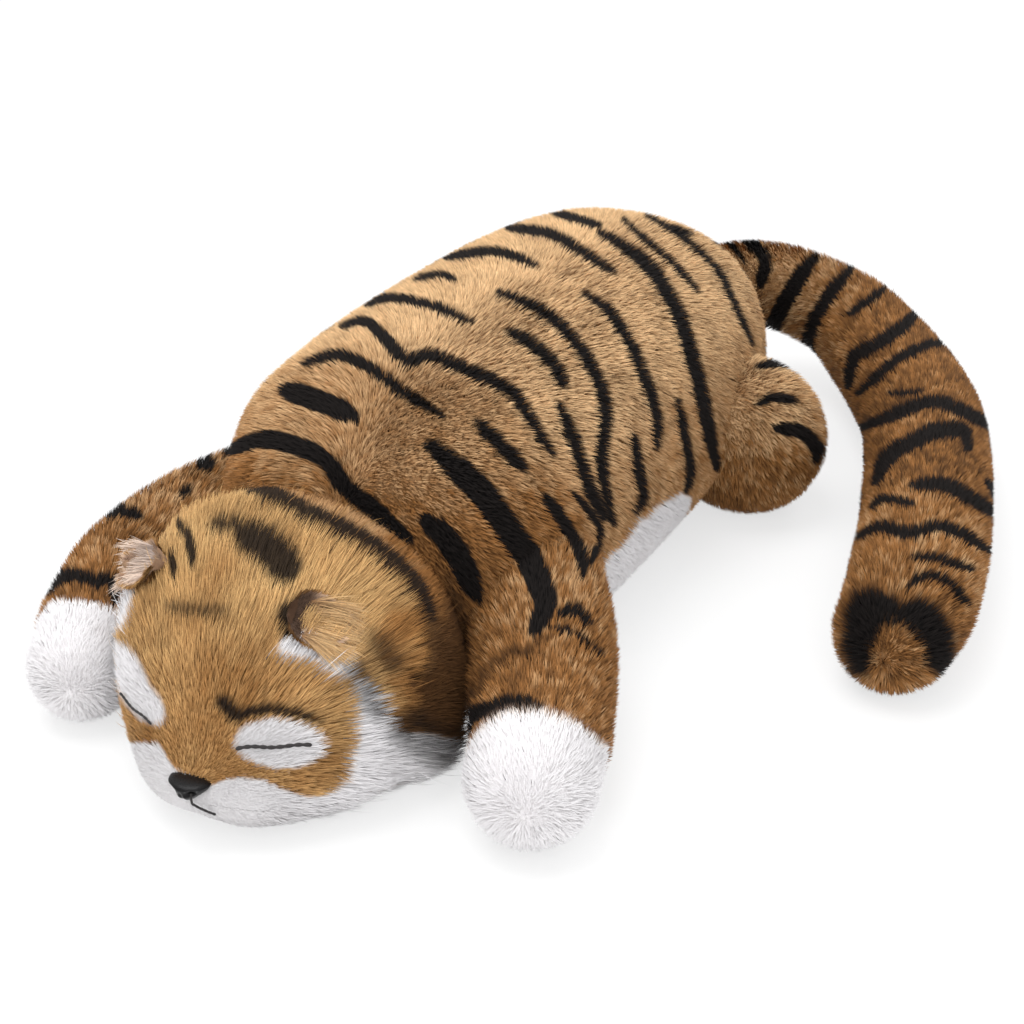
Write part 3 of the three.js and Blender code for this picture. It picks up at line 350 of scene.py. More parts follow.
class Haunch(Limb):
    """A short plump limb: the outline round all its balls, seen from the middle of the last but one."""

    def __init__(self, rows, steps, rings, sides):
        super().__init__(rows, steps, 8)
        middle = self.centres[-2]
        polar = np.linspace(0.01, np.pi - 0.01, rings)[:, None]
        turn = turns(sides)
        ways = [np.cos(polar), np.sin(polar) * np.cos(turn), np.sin(polar) * np.sin(turn)]
        ways = np.stack(np.broadcast_arrays(*ways), -1)
        reach = np.zeros(ways.shape[:2])
        for ball, radius in zip(self.samples, self.reaches):
            ahead = ways @ (ball - middle)
            inside = radius ** 2 - ((ball - middle) ** 2).sum() + ahead ** 2
            reach = np.maximum(reach, np.where(inside > 0, ahead + np.sqrt(np.maximum(inside, 0)), 0))
        Form.__init__(self, middle + reach[..., None] * ways)
        outward = np.sign(middle[0])
        self.flow = np.broadcast_to([0.35 * outward, 0.25, -0.9], self.grid.shape)


def torso_flow(grid):
    """The pile lies down the flanks from the back seam, and a little towards the tail."""
    side = np.clip(grid[..., 0] / 30, -1, 1)
    return np.stack([side, np.full_like(side, 0.5), -0.8 * np.abs(side)], -1)


NOSE_ROOT = np.array([3, -262, 24])
EYE_SPOTS = [(31, -249, 41), (-27, -251, 43)]
CROWN_SPOT, BEHIND_EAR, CREVICE = (-4, -168, 92), (42, -196, 74), (70, -178, 24)
HEAD_MIDDLE = np.array([0, -195, 35])


def from_nose(points):
    return np.linalg.norm(points - NOSE_ROOT, axis=-1)


def near_spot(points, spot, radius):
    """1 at a spot of the head, and less away from it."""
    far = np.linalg.norm(points - np.array(spot), axis=-1) / radius
    return np.exp(-far ** 2)


def head_flow(grid):
    """The hair is combed from the nose, up and back."""
    away = unit(grid - NOSE_ROOT)
    return away + np.array([0, 0.35, 0]) - 0.25 * ease(20, 60, np.abs(grid[..., :1])) * np.array([0, 0, 1.0])


# Swellings and hollows of the face: x, y, z, radius, rise
FACE = [
    (22, -256, 15, 20, 1.9), (-14, -256, 14, 20, 1.9),
    (32, -248, 41, 12, -1.2), (-27, -249, 45, 12, -1.2),
    (23, -243, 53, 11, 1.2), (-24, -242, 55, 11, 1.2),
    (3, -249, 40, 10, 1.4),
    (58, -205, 47, 15, 3.0), (-55, -205, 47, 15, 3.0),
    (60, -190, 12, 24, 6.5), (-50, -190, 12, 24, 6.5),
    (60, -212, 30, 12, -1.5), (-56, -212, 30, 12, -1.5),
]

torso = Loft(TORSO, UPRIGHT, 150, 168, 3, torso_flow)
head = Loft(HEAD, LEAN, 90, 128, 3, head_flow, FACE)
front_left = Limb(FRONT_LEFT, 60, 64)
front_right = Limb(FRONT_RIGHT, 60, 64)
hind_left = Haunch(HIND_LEFT, 36, 64, 96)
hind_right = Haunch(HIND_RIGHT, 36, 64, 96)
tail = Limb(TAIL, 150, 64)


# Marks are drawn in the photo's frame, and each bit of pile reads its colours there. The numbers of a line or
# an outline are the x and y of its points in pixels, one after another.

class Canvas:
    """Levels from 0 to 1 all over the photo's frame, begun from the levels of other canvases."""

    def __init__(self, *others):
        self.level = np.zeros((FRAME, FRAME), np.float32)
        for other in others:
            self.raise_to(other.level)

    def raise_to(self, value, place=...):
        patch = self.level[place]
        np.maximum(patch, value, out=patch)
        return self

    def stamp(self, x, y, radius, soft):
        reach = int(radius + soft + 2)
        x0, x1 = max(int(x) - reach, 0), min(int(x) + reach + 1, FRAME)
        y0, y1 = max(int(y) - reach, 0), min(int(y) + reach + 1, FRAME)
        if x0 < x1 and y0 < y1:
            yy, xx = np.mgrid[y0:y1, x0:x1]
            value = np.clip((radius - np.hypot(xx - x, yy - y)) / soft + 0.5, 0, 1)
            self.raise_to(value, (slice(y0, y1), slice(x0, x1)))

    def strokes(self, *rows, taper=0.2, soft=1.2):
        """Brush strokes along smooth lines, thin at both ends. A row is a stroke's width and its line."""
        for width, *numbers in rows:
            p = np.array(numbers, float).reshape(-1, 2)
            q = lengthened(p)
            line = []
            for a, b, c, d in zip(q, q[1:], q[2:], q[3:]):
                t = np.arange(0, 1, 1 / max(2, np.linalg.norm(c - b)))[:, None]
                line.append(between(a, b, c, d, t))
            line = np.vstack(line + [p[-1:]])
            share = np.linspace(0, 1, len(line))
            fine = np.minimum(1, np.minimum(share, 1 - share) / taper)
            for (x, y), part in zip(line, fine):
                self.stamp(x, y, 0.58 * width * (0.5 + 0.5 * part ** 0.7), soft)
        return self

    def ellipse(self, x, y, half_width, half_height, turn, soft=0.15):
        yy, xx = np.mgrid[0:FRAME, 0:FRAME]
        a = math.radians(turn)
        u = ((xx - x) * math.cos(a) + (yy - y) * math.sin(a)) / half_width
        v = ((yy - y) * math.cos(a) - (xx - x) * math.sin(a)) / half_height
        return self.raise_to(np.clip((1 - np.hypot(u, v)) / soft + 0.5, 0, 1))

    def fill(self, *numbers, soft):
        """The inside of an outline."""
        p = np.array(numbers, float).reshape(-1, 2)
        yy, xx = np.mgrid[0:FRAME, 0:FRAME]
        inside = np.zeros((FRAME, FRAME), bool)
        near = np.full((FRAME, FRAME), 1e9)
        for (x0, y0), (x1, y1) in zip(p, np.roll(p, -1, 0)):
            run, rise = x1 - x0, y1 - y0
            inside ^= ((yy < y0) != (yy < y1)) & (xx < x0 + (yy - y0) * run / (rise or 1))
            t = np.clip(((xx - x0) * run + (yy - y0) * rise) / (run ** 2 + rise ** 2), 0, 1)
            near = np.minimum(near, np.hypot(xx - x0 - t * run, yy - y0 - t * rise))
        return self.raise_to(np.clip(np.where(inside, near, -near) / soft + 0.5, 0, 1))

    def read(self, at):
        x, y = (np.clip(at[:, k], 0, FRAME - 1.001) for k in (0, 1))
        i, j = x.astype(int), y.astype(int)
        s, t = x - i, y - j
        rows = self.level
        top = rows[j, i] * (1 - s) + rows[j, i + 1] * s
        return top * (1 - t) + (rows[j + 1, i] * (1 - s) + rows[j + 1, i + 1] * s) * t


BODY_MARKS = Canvas().strokes(
    (8, 552, 213, 601, 226),
    (10, 508, 229, 548, 234, 580, 250, 615, 273),
    (9, 446, 259, 495, 252, 538, 266),
    (7, 415, 280, 439, 275, 455, 280),
    (9, 367, 306, 390, 299, 425, 304, 474, 322),
    (12, 343, 327, 366, 322, 387, 341, 408, 359, 432, 355, 460, 366, 510, 390, 531, 418, 553, 455),
    (11, 303, 364, 338, 355, 373, 369, 408, 394, 443, 415),
    (20, 283, 390, 313, 399, 355, 415),
    (17, 228, 452, 262, 440, 300, 447, 327, 462, 345, 485, 375, 510, 410, 540),
    (12, 245, 492, 285, 505, 330, 525, 365, 548, 400, 580, 420, 610),
    (22, 425, 520, 446, 538, 460, 559, 478, 597),
    (24, 431, 445, 460, 471, 488, 499, 510, 531, 530, 560, 545, 600, 535, 630),
    (14, 478, 422, 496, 440, 525, 469),
    (12, 545, 496, 562, 520, 580, 552, 583, 573),
    (7, 571, 490, 590, 513, 600, 534, 590, 565),
    (12, 559, 404, 573, 436, 587, 482, 604, 520),
    (12, 499, 292, 541, 310, 573, 338, 597, 376, 606, 411, 602, 461, 608, 503, 613, 524),
    (13, 510, 331, 538, 348, 555, 366, 566, 387),
    (11, 583, 292, 608, 310, 629, 341, 646, 380, 657, 418, 657, 448),
    (14, 601, 233, 629, 250, 653, 271, 678, 313, 695, 369, 706, 418, 716, 468),
    (7, 623, 219, 646, 240, 674, 264, 699, 292),
    (7, 645, 215, 681, 236, 716, 268, 734, 303, 752, 345),
    (9, 678, 401, 685, 440, 690, 471, 685, 492),
    (10, 634, 436, 639, 471, 643, 496, 636, 513),
    (14, 203, 463, 210, 462),
    (9, 182, 492, 190, 488),
    (5, 672, 226, 692, 235),
    (5, 704, 228, 721, 246),
    (6, 739, 235, 762, 255, 757, 279),
)
TAIL_MARKS = Canvas().strokes(
    (15, 814, 256, 796, 282, 776, 318, 768, 340),
    (13, 850, 268, 829, 294, 813, 322, 808, 346, 818, 362),
    (9, 884, 288, 866, 302, 848, 314),
    (13, 918, 311, 898, 330, 872, 346, 854, 358, 849, 386),
    (10, 946, 343, 924, 346, 894, 362, 858, 394),
    (6, 924, 391, 908, 393, 886, 393),
    (13, 862, 428, 888, 417, 932, 402, 964, 412, 998, 432),
    (16, 876, 482, 888, 458, 908, 444, 934, 432, 962, 431, 968, 448),
    (14, 912, 485, 938, 484, 960, 492, 996, 515),
    (8, 986, 480, 1000, 508),
    (9, 871, 508, 884, 499, 914, 504),
    (12, 858, 538, 880, 527, 908, 533, 936, 526, 964, 535, 988, 551),
    (9, 912, 556, 938, 558, 972, 569),
    (9, 908, 586, 926, 575, 948, 581, 969, 604),
    (6, 700, 228, 725, 240, 745, 262),
    (12, 742, 236, 764, 258, 760, 286),
)
TIP_MARKS = Canvas(TAIL_MARKS).fill(
    842, 612, 852, 590, 872, 584, 896, 594, 904, 600, 920, 594, 940, 604, 956, 632, 956, 660, 942, 682, 926,
    664, 924, 646, 902, 624, 884, 626, 872, 650, 868, 676, 850, 676, 840, 650, soft=9)
LEG_MARKS = Canvas(BODY_MARKS).strokes(
    (11, 560, 613, 576, 609, 590, 623),
    (5, 549, 627, 576, 633, 604, 655),
    (12, 102, 513, 120, 510, 141, 516),
    (8, 757, 366, 784, 364, 806, 371),
    (9, 759, 404, 775, 398, 797, 401),
    (13, 777, 429, 802, 433, 817, 449, 815, 460),
)
LEG_MARKS.strokes((15, 457, 764, 458, 740, 469, 719, 490, 708, 516, 702, 540, 706), taper=0.12)
LEG_MARKS.strokes((13, 46, 594, 57, 580, 74, 575, 96, 580, 112, 580, 116, 600), taper=0.15)

HEAD_MARKS = Canvas().strokes((9, 180, 524, 190, 541, 194, 565), (7, 173, 553, 175, 577))
HEAD_MARKS.strokes((14, 214, 527, 232, 526, 250, 534), soft=8)
HEAD_MARKS.strokes((32, 248, 538, 264, 546, 279, 560, 286, 572), soft=6, taper=0.1)
HEAD_MARKS.strokes((7, 168, 606, 197, 611, 227, 612), soft=9)
HEAD_MARKS.strokes((15, 221, 699, 233, 711, 241, 716), soft=7)
HEAD_MARKS.strokes((9, 234, 716, 252, 711, 274, 708, 300, 713, 320, 722), soft=5)
HEAD_MARKS.strokes(
    (16, 246, 490, 274, 497, 304, 512, 334, 526, 361, 540, 386, 557, 406, 577, 420, 597, 428, 620),
    taper=0.08)
HEAD_MARKS.strokes((16, 288, 606, 286, 618, 292, 632), soft=6)
HEAD_WHITES = Canvas().ellipse(281, 743, 46, 25, 4)
HEAD_WHITES.strokes((26, 119, 650, 136, 690, 156, 716), soft=6)
HEAD_WHITES.strokes((20, 284, 646, 318, 650, 352, 672), (16, 128, 577, 124, 600, 112, 630), soft=5)
HEAD_WHITES.fill(
    209, 785, 239, 777, 264, 780, 289, 791, 309, 797, 329, 795, 349, 779, 357, 741, 358, 700, 352, 676, 372,
    682, 388, 700, 397, 730, 430, 733, 462, 742, 480, 800, 300, 880, 140, 860, 118, 742, 158, 742, 174, 768,
    soft=3)
# Where pale hair has dark tips
HEAD_ASHES = Canvas().strokes((22, 352, 668, 366, 690, 378, 712), taper=0.1, soft=14)
HEAD_ASHES.strokes((34, 400, 722, 432, 744, 462, 752), taper=0.1, soft=18)
HEAD_ASHES.strokes((22, 372, 640, 392, 668), soft=14)
# Where the head's pile is as short and brown as the body's: from the stripe behind it
HEAD_SHADES = Canvas().fill(
    238, 484, 272, 503, 300, 519, 330, 533, 358, 547, 380, 564, 398, 582, 411, 600, 422, 632, 424, 660, 416,
    700, 404, 730, 480, 740, 560, 640, 480, 480, 300, 380, soft=9)
HEAD_SHADES.fill(384, 676, 410, 672, 422, 690, 404, 714, soft=10)
# Where the long hair behind the ear and the ruff is brown
CHEEK_SHADES = Canvas().fill(
    376, 640, 388, 614, 428, 608, 440, 650, 428, 720, 404, 736, 394, 720, 410, 700, 398, 676, 378, 664,
    soft=14)
# Painted shade: where the body's pile is darker, in the fold round the head and over the front leg
BODY_FOLD_SHADE = Canvas().fill(
    380, 550, 430, 575, 480, 640, 545, 640, 520, 665, 480, 690, 460, 780, 400, 760, 400, 640, soft=46)
BODY_FOLD_SHADE.strokes((40, 436, 600, 452, 660, 458, 740), taper=0.1, soft=36)
# Painted shade in the crease where the flank hangs over the front leg, and where the leg meets the head
CREASE_SHADE = Canvas().strokes((9, 548, 634, 528, 648, 500, 658, 474, 694, 461, 730, 456, 765), soft=7, taper=0.12)
CREASE_SHADE.strokes((12, 462, 640, 458, 700, 458, 770), soft=12, taper=0.12)
PAW_WHITES = Canvas().fill(
    456, 790, 464, 763, 476, 745, 492, 727, 511, 717, 534, 713, 557, 716, 580, 723, 606, 745, 680, 760, 640,
    900, 420, 900, soft=5)
PAW_WHITES.fill(20, 590, 46, 597, 80, 600, 112, 606, 134, 622, 160, 640, 160, 760, 0, 760, soft=4)
TIP_TONE = 1.08
# Height of the white belly's edge on the flanks, along Y
BELLY_EDGE = [[-170, 6], [-122, 8], [-104, 26], [-88, 45], [-50, 53], [-15, 47], [5, 38], [18, 22],
              [32, 9], [190, 6]]


def read_marks(points, normals, twin, *canvases):
    """Reads canvases where the photo shows a point, or else where it shows the point's twin."""
    seen = dot(normals, unit(EYE_POINT - points)) > 0.02
    at = pixels(np.where(seen[:, None], points, twin(points))) + 1.2 * noise(points, 1.7)[:, :2]
    return [one.read(at) for one in canvases]


def mirrored(points):
    return points * [-1, 1, 1] + [0, 7, 0]


def head_mirrored(points):
    middle = LEAN["shift"] + LEAN["slope"] * (points[:, 2] - LEAN["z"])
    return np.stack([2 * middle - points[:, 0], points[:, 1], points[:, 2]], -1)


def colours(dark, white, tone, ash=0):
    """The values that a pile's material reads. A tone past 1, the full brown, turns darker still; so painted
    shade can go darker than the brown.
    """
    dark = np.maximum(dark, np.clip(tone - 1, 0, 0.7) * (white < 0.5))
    return {"dark": dark, "white": white, "tone": np.clip(tone, 0, 1), "ash": ash + 0 * dark}


def torso_paint(points, normals):
    """Tan over a white belly, with painted shade that darkens it down the flanks, at the shoulders and in the
    folds.
    """
    dark, shade, fold_shade = read_marks(points, normals, mirrored, BODY_MARKS, BODY_FOLD_SHADE, CREASE_SHADE)
    y, z = points[:, 1], points[:, 2]
    edge = smooth(BELLY_EDGE, np.clip(y, -170, 190))[:, 0]
    white = ease(1.5, -1.5, z + 3 * noise(points, 9)[:, 0] - edge)
    # Painted shade: darker down the flanks, towards the shoulders by the head, and in the folds and creases
    tone = 0.55 * ease(108, 76, z) + 0.16 * ease(70, 40, z) + 0.5 * ease(-80, -122, y)
    tone = tone + 0.95 * shade + 0.5 * fold_shade
    tone = tone + 0.09 * noise(points, 38)[:, 0] + 0.36 * noise(points, 2.6)[:, 1]
    return colours(dark * (1 - white), white, np.where(white > 0.5, 0.35, tone))


def head_paint(points, normals):
    """Golden, paler away from the nose, brown at the nape and the cheeks, white underneath; low on the nape,
    against the shoulder, painted shade darkens it.
    """
    dark, white, ash, shade, cheek = read_marks(
        points, normals, head_mirrored, HEAD_MARKS, HEAD_WHITES, HEAD_ASHES, HEAD_SHADES, CHEEK_SHADES)
    y, z = points[:, 1], points[:, 2]
    above = ease(5, 12, z)
    dark = above * dark
    near = from_nose(points)
    tone = 0.74 - 0.48 * ease(15, 85, near) + 0.3 * noise(points, 16)[:, 1] + 0.2 * noise(points, 3)[:, 2]
    tone = tone + 0.5 * ease(44, 20, z) * ease(-225, -190, y)
    # The nape is brown like the body; low down, where it meets the shoulder, painted shade makes it much
    # darker
    tone = tone + shade * (0.45 + 1.1 * ease(78, 45, z) * ease(-208, -186, y))
    tone = tone + 0.7 * cheek
    white = np.maximum(white * (1 - dark), ease(13, 8, z))
    tone = np.where(white > 0.5, 0.25 + 0.5 * ease(62, 30, near), tone)
    return colours(0.96 * dark, white, tone, above * ash)


def limb_paint(limb, marks, tone, wrist=None, fold_shade=0):
    """A limb's colours. A paw is white past the edge that the photo shows, and well past its seam."""
    def paint(points, normals):
        dark, paw, crease_shade = read_marks(points, normals, limb.turned_to_view, marks, PAW_WHITES, CREASE_SHADE)
        white = np.zeros(len(points))
        if wrist:
            point, way = limb.cut_at(wrist)
            white = np.maximum(paw, ease(6, 15, dot(points - point, way) + 1.5 * noise(points, 4)[:, 0]))
        # Painted shade darkens the creases.
        level = (tone(points) if callable(tone) else tone) + fold_shade * crease_shade
        level = level - 0.08 + 0.28 * noise(points, 18)[:, 0] + 0.6 * noise(points, 2.6)[:, 1]
        return colours(dark * (1 - white), white, np.where(white > 0.5, 0.0, level))
    return paint


def front_tone(points):
    # Darker low down, as the flanks are: painted shade
    return 0.85 + 0.36 * ease(75, 35, points[:, 2])


def hind_tone(points):
    return 0.32 + 0.72 * ease(62, 28, points[:, 2])


def tail_tone(points):
    """The tail is darkest in its middle: its own dark brown fur, deepened by painted shade."""
    return 1.02 + 0.36 * ease(0, 70, points[:, 1]) - 0.62 * ease(120, 50, points[:, 0])


def hind_right_paint(points, normals):
    return limb_paint(hind_left, LEG_MARKS, hind_tone)(points * [-1, 1, 1], normals * [-1, 1, 1])


# Materials

class Nodes:
    """The nodes of a material, or of the world."""

    def __init__(self, owner):
        owner.use_nodes = True
        self.owner, self.tree, self.link = owner, owner.node_tree, owner.node_tree.links.new
        self.shader = self.tree.nodes.get("Principled BSDF")

    def node(self, kind, **values):
        one = self.tree.nodes.new("ShaderNode" + kind)
        for key, value in values.items():
            place = key.replace("_", " ").title()
            if place in one.inputs:
                one.inputs[place].default_value = value
            else:
                setattr(one, key, value)
        return one

    def at_place(self, kind, **values):
        """A pattern's node that is read at the object's own coordinates."""
        one = self.node(kind, **values)
        self.link(self.node("TexCoord").outputs["Object"], one.inputs["Vector"])
        return one

    def ramp(self, source, *stops):
        """A colour ramp through stops of place and colour."""
        one = self.node("ValToRGB")
        elements = one.color_ramp.elements
        while len(elements) < len(stops):
            elements.new(0.5)
        for element, (place, colour) in zip(elements, stops):
            element.position = place
            element.color = (*colour, 1) if hasattr(colour, "__len__") else (colour, colour, colour, 1)
        self.link(source, one.inputs["Fac"])
        return one.outputs["Color"]

    def mixed(self, share, a, b, kind="MIX"):
        one = self.node("Mix", data_type="RGBA", blend_type=kind)
        if isinstance(share, float):
            one.inputs[0].default_value = share
        else:
            self.link(share, one.inputs[0])
        self.link(a, one.inputs[6])
        self.link(b, one.inputs[7])
        return one.outputs[2]

    def maths(self, operation, a, b):
        one = self.node("Math", operation=operation)
        self.link(a, one.inputs[0])
        self.link(b, one.inputs[1])
        return one.outputs[0]

    def dressed(self, base, roughness, height, strength, depth, **constants):
        """The material, with its shader's colour, roughness and bump of a depth in mm, and its constants."""
        bump = self.node("Bump", strength=strength, distance=depth * MM)
        self.link(height, bump.inputs["Height"])
        sources = {"Base Color": base, "Roughness": roughness, "Normal": bump.outputs["Normal"]}
        for place, source in sources.items():
            self.link(source, self.shader.inputs[place])
        for key, value in constants.items():
            self.shader.inputs[key.replace("_", " ")].default_value = value
        return self.owner


def new_material(name):
    return Nodes(bpy.data.materials.new(name))


def scaled(colour, share):
    return tuple(share * v for v in colour)


BLACK_ROOT, BLACK_TIP = (0.004, 0.0034, 0.0034), (0.014, 0.0108, 0.0098)
PALE_ROOT, PALE_MIDDLE, PALE_TIP = (0.86, 0.835, 0.84), (0.90, 0.88, 0.89), (0.94, 0.925, 0.94)


def plush(name, root, tip, deep, spread=(0.72, 1.22), knit=False):
    """Pile whose colour runs from root to tip, with near-black and white marks and ash-dark tips."""
    n = new_material(name)
    read = {key: n.node("Attribute", attribute_name=key).outputs["Fac"]
            for key in ("along", "dark", "white", "tone", "rand", "ash")}
    middle = tuple((a + 1.6 * b) / 2.6 for a, b in zip(root, tip))
    light = n.ramp(read["along"], (0.0, root), (0.4, middle), (1.0, tip))
    brown = n.ramp(read["along"], (0.0, scaled(deep, 0.45)), (0.6, deep), (1.0, scaled(deep, 1.2)))
    black = n.ramp(read["along"], (0.0, BLACK_ROOT), (1.0, BLACK_TIP))
    white = n.ramp(read["along"], (0.0, PALE_ROOT), (0.5, PALE_MIDDLE), (1.0, PALE_TIP))
    white = n.mixed(1.0, white, n.ramp(read["tone"], (0.0, 1.0), (1.0, 0.72)), "MULTIPLY")
    low, high = spread
    shades = n.ramp(read["rand"], (0.0, (low, low * 0.96, low * 0.92)), (1.0, high))
    coat = n.mixed(1.0, n.mixed(read["tone"], light, brown), shades, "MULTIPLY")
    grain = n.at_place("TexNoise", scale=850.0, detail=3.0).outputs["Fac"]
    coat = n.mixed(1.0, coat, n.ramp(grain, (0.25, 0.88), (0.75, 1.1)), "MULTIPLY")
    white = n.mixed(1.0, white, n.ramp(grain, (0.25, 0.95), (0.75, 1.0)), "MULTIPLY")
    coat = n.mixed(read["white"], coat, white)
    coat = n.mixed(n.maths("MULTIPLY", read["ash"], read["along"]), coat, black)
    coat = n.mixed(read["dark"], coat, black)
    height = grain
    if knit:
        rows = [n.at_place("TexWave", bands_direction=way, scale=330.0, distortion=1.5).outputs["Color"]
                for way in ("X", "Y")]
        height = n.mixed(0.5, *rows)
    return n.dressed(coat, n.ramp(grain, (0.2, 0.62), (0.8, 0.85)), height, 0.35, 0.3,
                     Specular_IOR_Level=0.09, Sheen_Weight=0.015, Sheen_Roughness=0.45)


ROOT, TAN_TIP, DEEP = (0.26, 0.114, 0.034), (0.80, 0.54, 0.292), (0.30, 0.134, 0.042)
GOLD_TIP, GOLD_DEEP = (0.74, 0.475, 0.205), (0.34, 0.160, 0.050)
TAN = plush("tan_pile", ROOT, TAN_TIP, DEEP, spread=(0.6, 1.36))
GOLD = plush("gold_pile", ROOT, GOLD_TIP, GOLD_DEEP, spread=(0.52, 1.34))
INNER_EAR = plush("ear_pile", (0.38, 0.22, 0.14), (0.78, 0.56, 0.38), (0.26, 0.14, 0.08), spread=(0.7, 1.25))
TAN_KNIT = plush("tan_backing", ROOT, TAN_TIP, DEEP, knit=True)
GOLD_KNIT = plush("gold_backing", ROOT, GOLD_TIP, GOLD_DEEP, knit=True)
SNOW_KNIT = plush("white_backing", PALE_ROOT, PALE_TIP, PALE_ROOT, knit=True)


def moulded(name, colour, rough, grain, depth, spread=0.12, metal=0.0, stretch=(1, 1, 1),
            coat=0.0, shine=0.5):
    """A moulded, turned or drawn surface: its grain's size in mm varies colour, gloss and height."""
    n = new_material(name)
    place = n.at_place("Mapping")
    place.inputs["Scale"].default_value = stretch
    fine = n.node("TexNoise", scale=1 / (grain * MM), detail=4.0)
    broad = n.node("TexNoise", scale=1 / (30 * grain * MM), detail=2.0)
    for one in (fine, broad):
        n.link(place.outputs["Vector"], one.inputs["Vector"])
    fine, broad = fine.outputs["Fac"], broad.outputs["Fac"]
    dull, bright = (tuple(min(v * share, 1) for v in colour) for share in (1 - spread, 1 + spread))
    base = n.ramp(broad, (0.3, dull), (0.7, bright))
    return n.dressed(n.mixed(1.0, base, n.ramp(fine, (0.3, 0.94), (0.7, 1.0)), "MULTIPLY"),
                     n.ramp(fine, (0.25, rough * 0.8), (0.75, min(rough * 1.25, 1))), fine, 0.5, depth,
                     Metallic=metal, Coat_Weight=coat, Specular_IOR_Level=shine)


def twisted(name, colour):
    """Thread: slanted plies."""
    n = new_material(name)
    plies = n.at_place("TexWave", bands_direction="DIAGONAL", scale=700.0, distortion=2.0).outputs["Fac"]
    return n.dressed(n.ramp(plies, (0.1, colour), (0.9, scaled(colour, 2.2))),
                     n.ramp(plies, (0.1, 0.8), (0.9, 0.55)), plies, 0.6, 0.2)


def printed_board():
    """Solder mask over copper tracks, with bare pads."""
    n = new_material("board")
    tracks = n.at_place("TexBrick", scale=150.0, mortar_size=0.05).outputs["Fac"]
    pads = n.at_place("TexVoronoi", scale=260.0).outputs["Distance"]
    mask = n.ramp(tracks, (0.0, (0.015, 0.13, 0.065)), (1.0, (0.04, 0.27, 0.14)))
    copper = n.ramp(pads, (0.0, (0.7, 0.66, 0.55)), (1.0, (0.6, 0.5, 0.3)))
    base = n.mixed(n.ramp(pads, (0.12, 1.0), (0.16, 0.0)), mask, copper)
    return n.dressed(base, n.ramp(pads, (0.1, 0.25), (0.4, 0.42)), tracks, 0.4, 0.06)


FINISHES = {name: moulded(name, *look[:4], **look[4]) for name, *look in [  # colour, roughness, grain, depth
    ("nose_plastic", (0.006, 0.0055, 0.006), 0.3, 0.6, 0.14, {"shine": 0.16}),
    ("white_plastic", (0.82, 0.80, 0.75), 0.38, 0.5, 0.03, {"spread": 0.05}),
    ("grey_plastic", (0.52, 0.51, 0.48), 0.58, 0.28, 0.06, {"spread": 0.07}),
    ("black_plastic", (0.035, 0.035, 0.04), 0.42, 0.3, 0.05, {}),
    ("steel", (0.62, 0.63, 0.65), 0.3, 0.25, 0.02, {"metal": 1.0, "stretch": (1, 0.06, 1)}),
    ("brass", (0.72, 0.53, 0.24), 0.28, 0.2, 0.02, {"metal": 1.0, "stretch": (0.1, 1, 1)}),
    ("cell_sleeve", (0.06, 0.10, 0.19), 0.24, 0.8, 0.02, {"spread": 0.2, "coat": 0.4}),
]}
FINISHES["thread"] = twisted("thread", (0.012, 0.010, 0.010))
FINISHES["board"] = printed_board()


def finish_inner_parts():
    """Every CAD node that stays gets the finish of its record slot."""
    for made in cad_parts.values():
        for place in made.material_slots:
            name = place.material.name.split(".")[0] if place.material else ""
            place.material = FINISHES.get(name, place.material)


# Meshes

def mesh_object(name, points, corners, sizes, coat=None):
    """An object from points in mm, its faces' corners one after another, and how many each face has."""
    mesh = bpy.data.meshes.new(name)
    points = np.asarray(points, np.float32).reshape(-1, 3)
    mesh.vertices.add(len(points))
    mesh.vertices.foreach_set("co", (points * MM).ravel())
    mesh.loops.add(len(corners))
    mesh.loops.foreach_set("vertex_index", np.asarray(corners, np.int32))
    mesh.polygons.add(len(sizes))
    starts = np.concatenate([[0], np.cumsum(sizes)[:-1]]).astype(np.int32)
    mesh.polygons.foreach_set("loop_start", starts)
    mesh.update(calc_edges=True)
    mesh.polygons.foreach_set("use_smooth", np.full(len(sizes), coat is not None))
    if coat:
        mesh.materials.append(coat)
    made = bpy.data.objects.new(name, mesh)
    bpy.context.scene.collection.objects.link(made)
    return made


def set_values(mesh, **values):
    for key, value in values.items():
        attribute = mesh.attributes.get(key) or mesh.attributes.new(key, "FLOAT", "POINT")
        attribute.data.foreach_set("value", np.asarray(value, np.float32))


def closed_object(name, grid, coat):
    """A closed surface through rings, with a face over each end."""
    rings, sides = grid.shape[:2]
    i = np.arange(sides)
    j = (i + 1) % sides
    base = (np.arange(rings - 1) * sides)[:, None]
    quads = np.stack([base + i, base + j, base + sides + j, base + sides + i], -1).reshape(-1, 4)
    corners = np.concatenate([quads.ravel(), i[::-1], (rings - 1) * sides + i])
    sizes = np.concatenate([np.full(len(quads), 4), [sides, sides]])
    made = mesh_object(name, grid, corners, sizes, coat)
    work = bmesh.new()
    work.from_mesh(made.data)
    bmesh.ops.recalc_face_normals(work, faces=work.faces)
    work.to_mesh(made.data)
    work.free()
    return made


BACKING_ALONG = 0.45  # a backing looks as blades do at this share of their length
BACKING_RAND = 0.45
SEAM_GAP = 0.15  # from a seam to the backing's edge


def painted(made, paint, along=BACKING_ALONG):
    """Stores the colours that the backing's material reads."""
    mesh = made.data
    rows = np.empty((2, len(mesh.vertices) * 3), np.float32)
    mesh.vertices.foreach_get("co", rows[0])
    mesh.vertex_normals.foreach_get("vector", rows[1])
    points, normals = rows.reshape(2, -1, 3).astype(float)
    n = len(points)
    set_values(mesh, along=np.full(n, along), rand=np.full(n, BACKING_RAND), **paint(points / MM, normals))


def settle(made, body, node=None):
    """Says what a piece rides on, and hides the node that it stands for."""
    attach(made, body)
    if node:
        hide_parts(node)


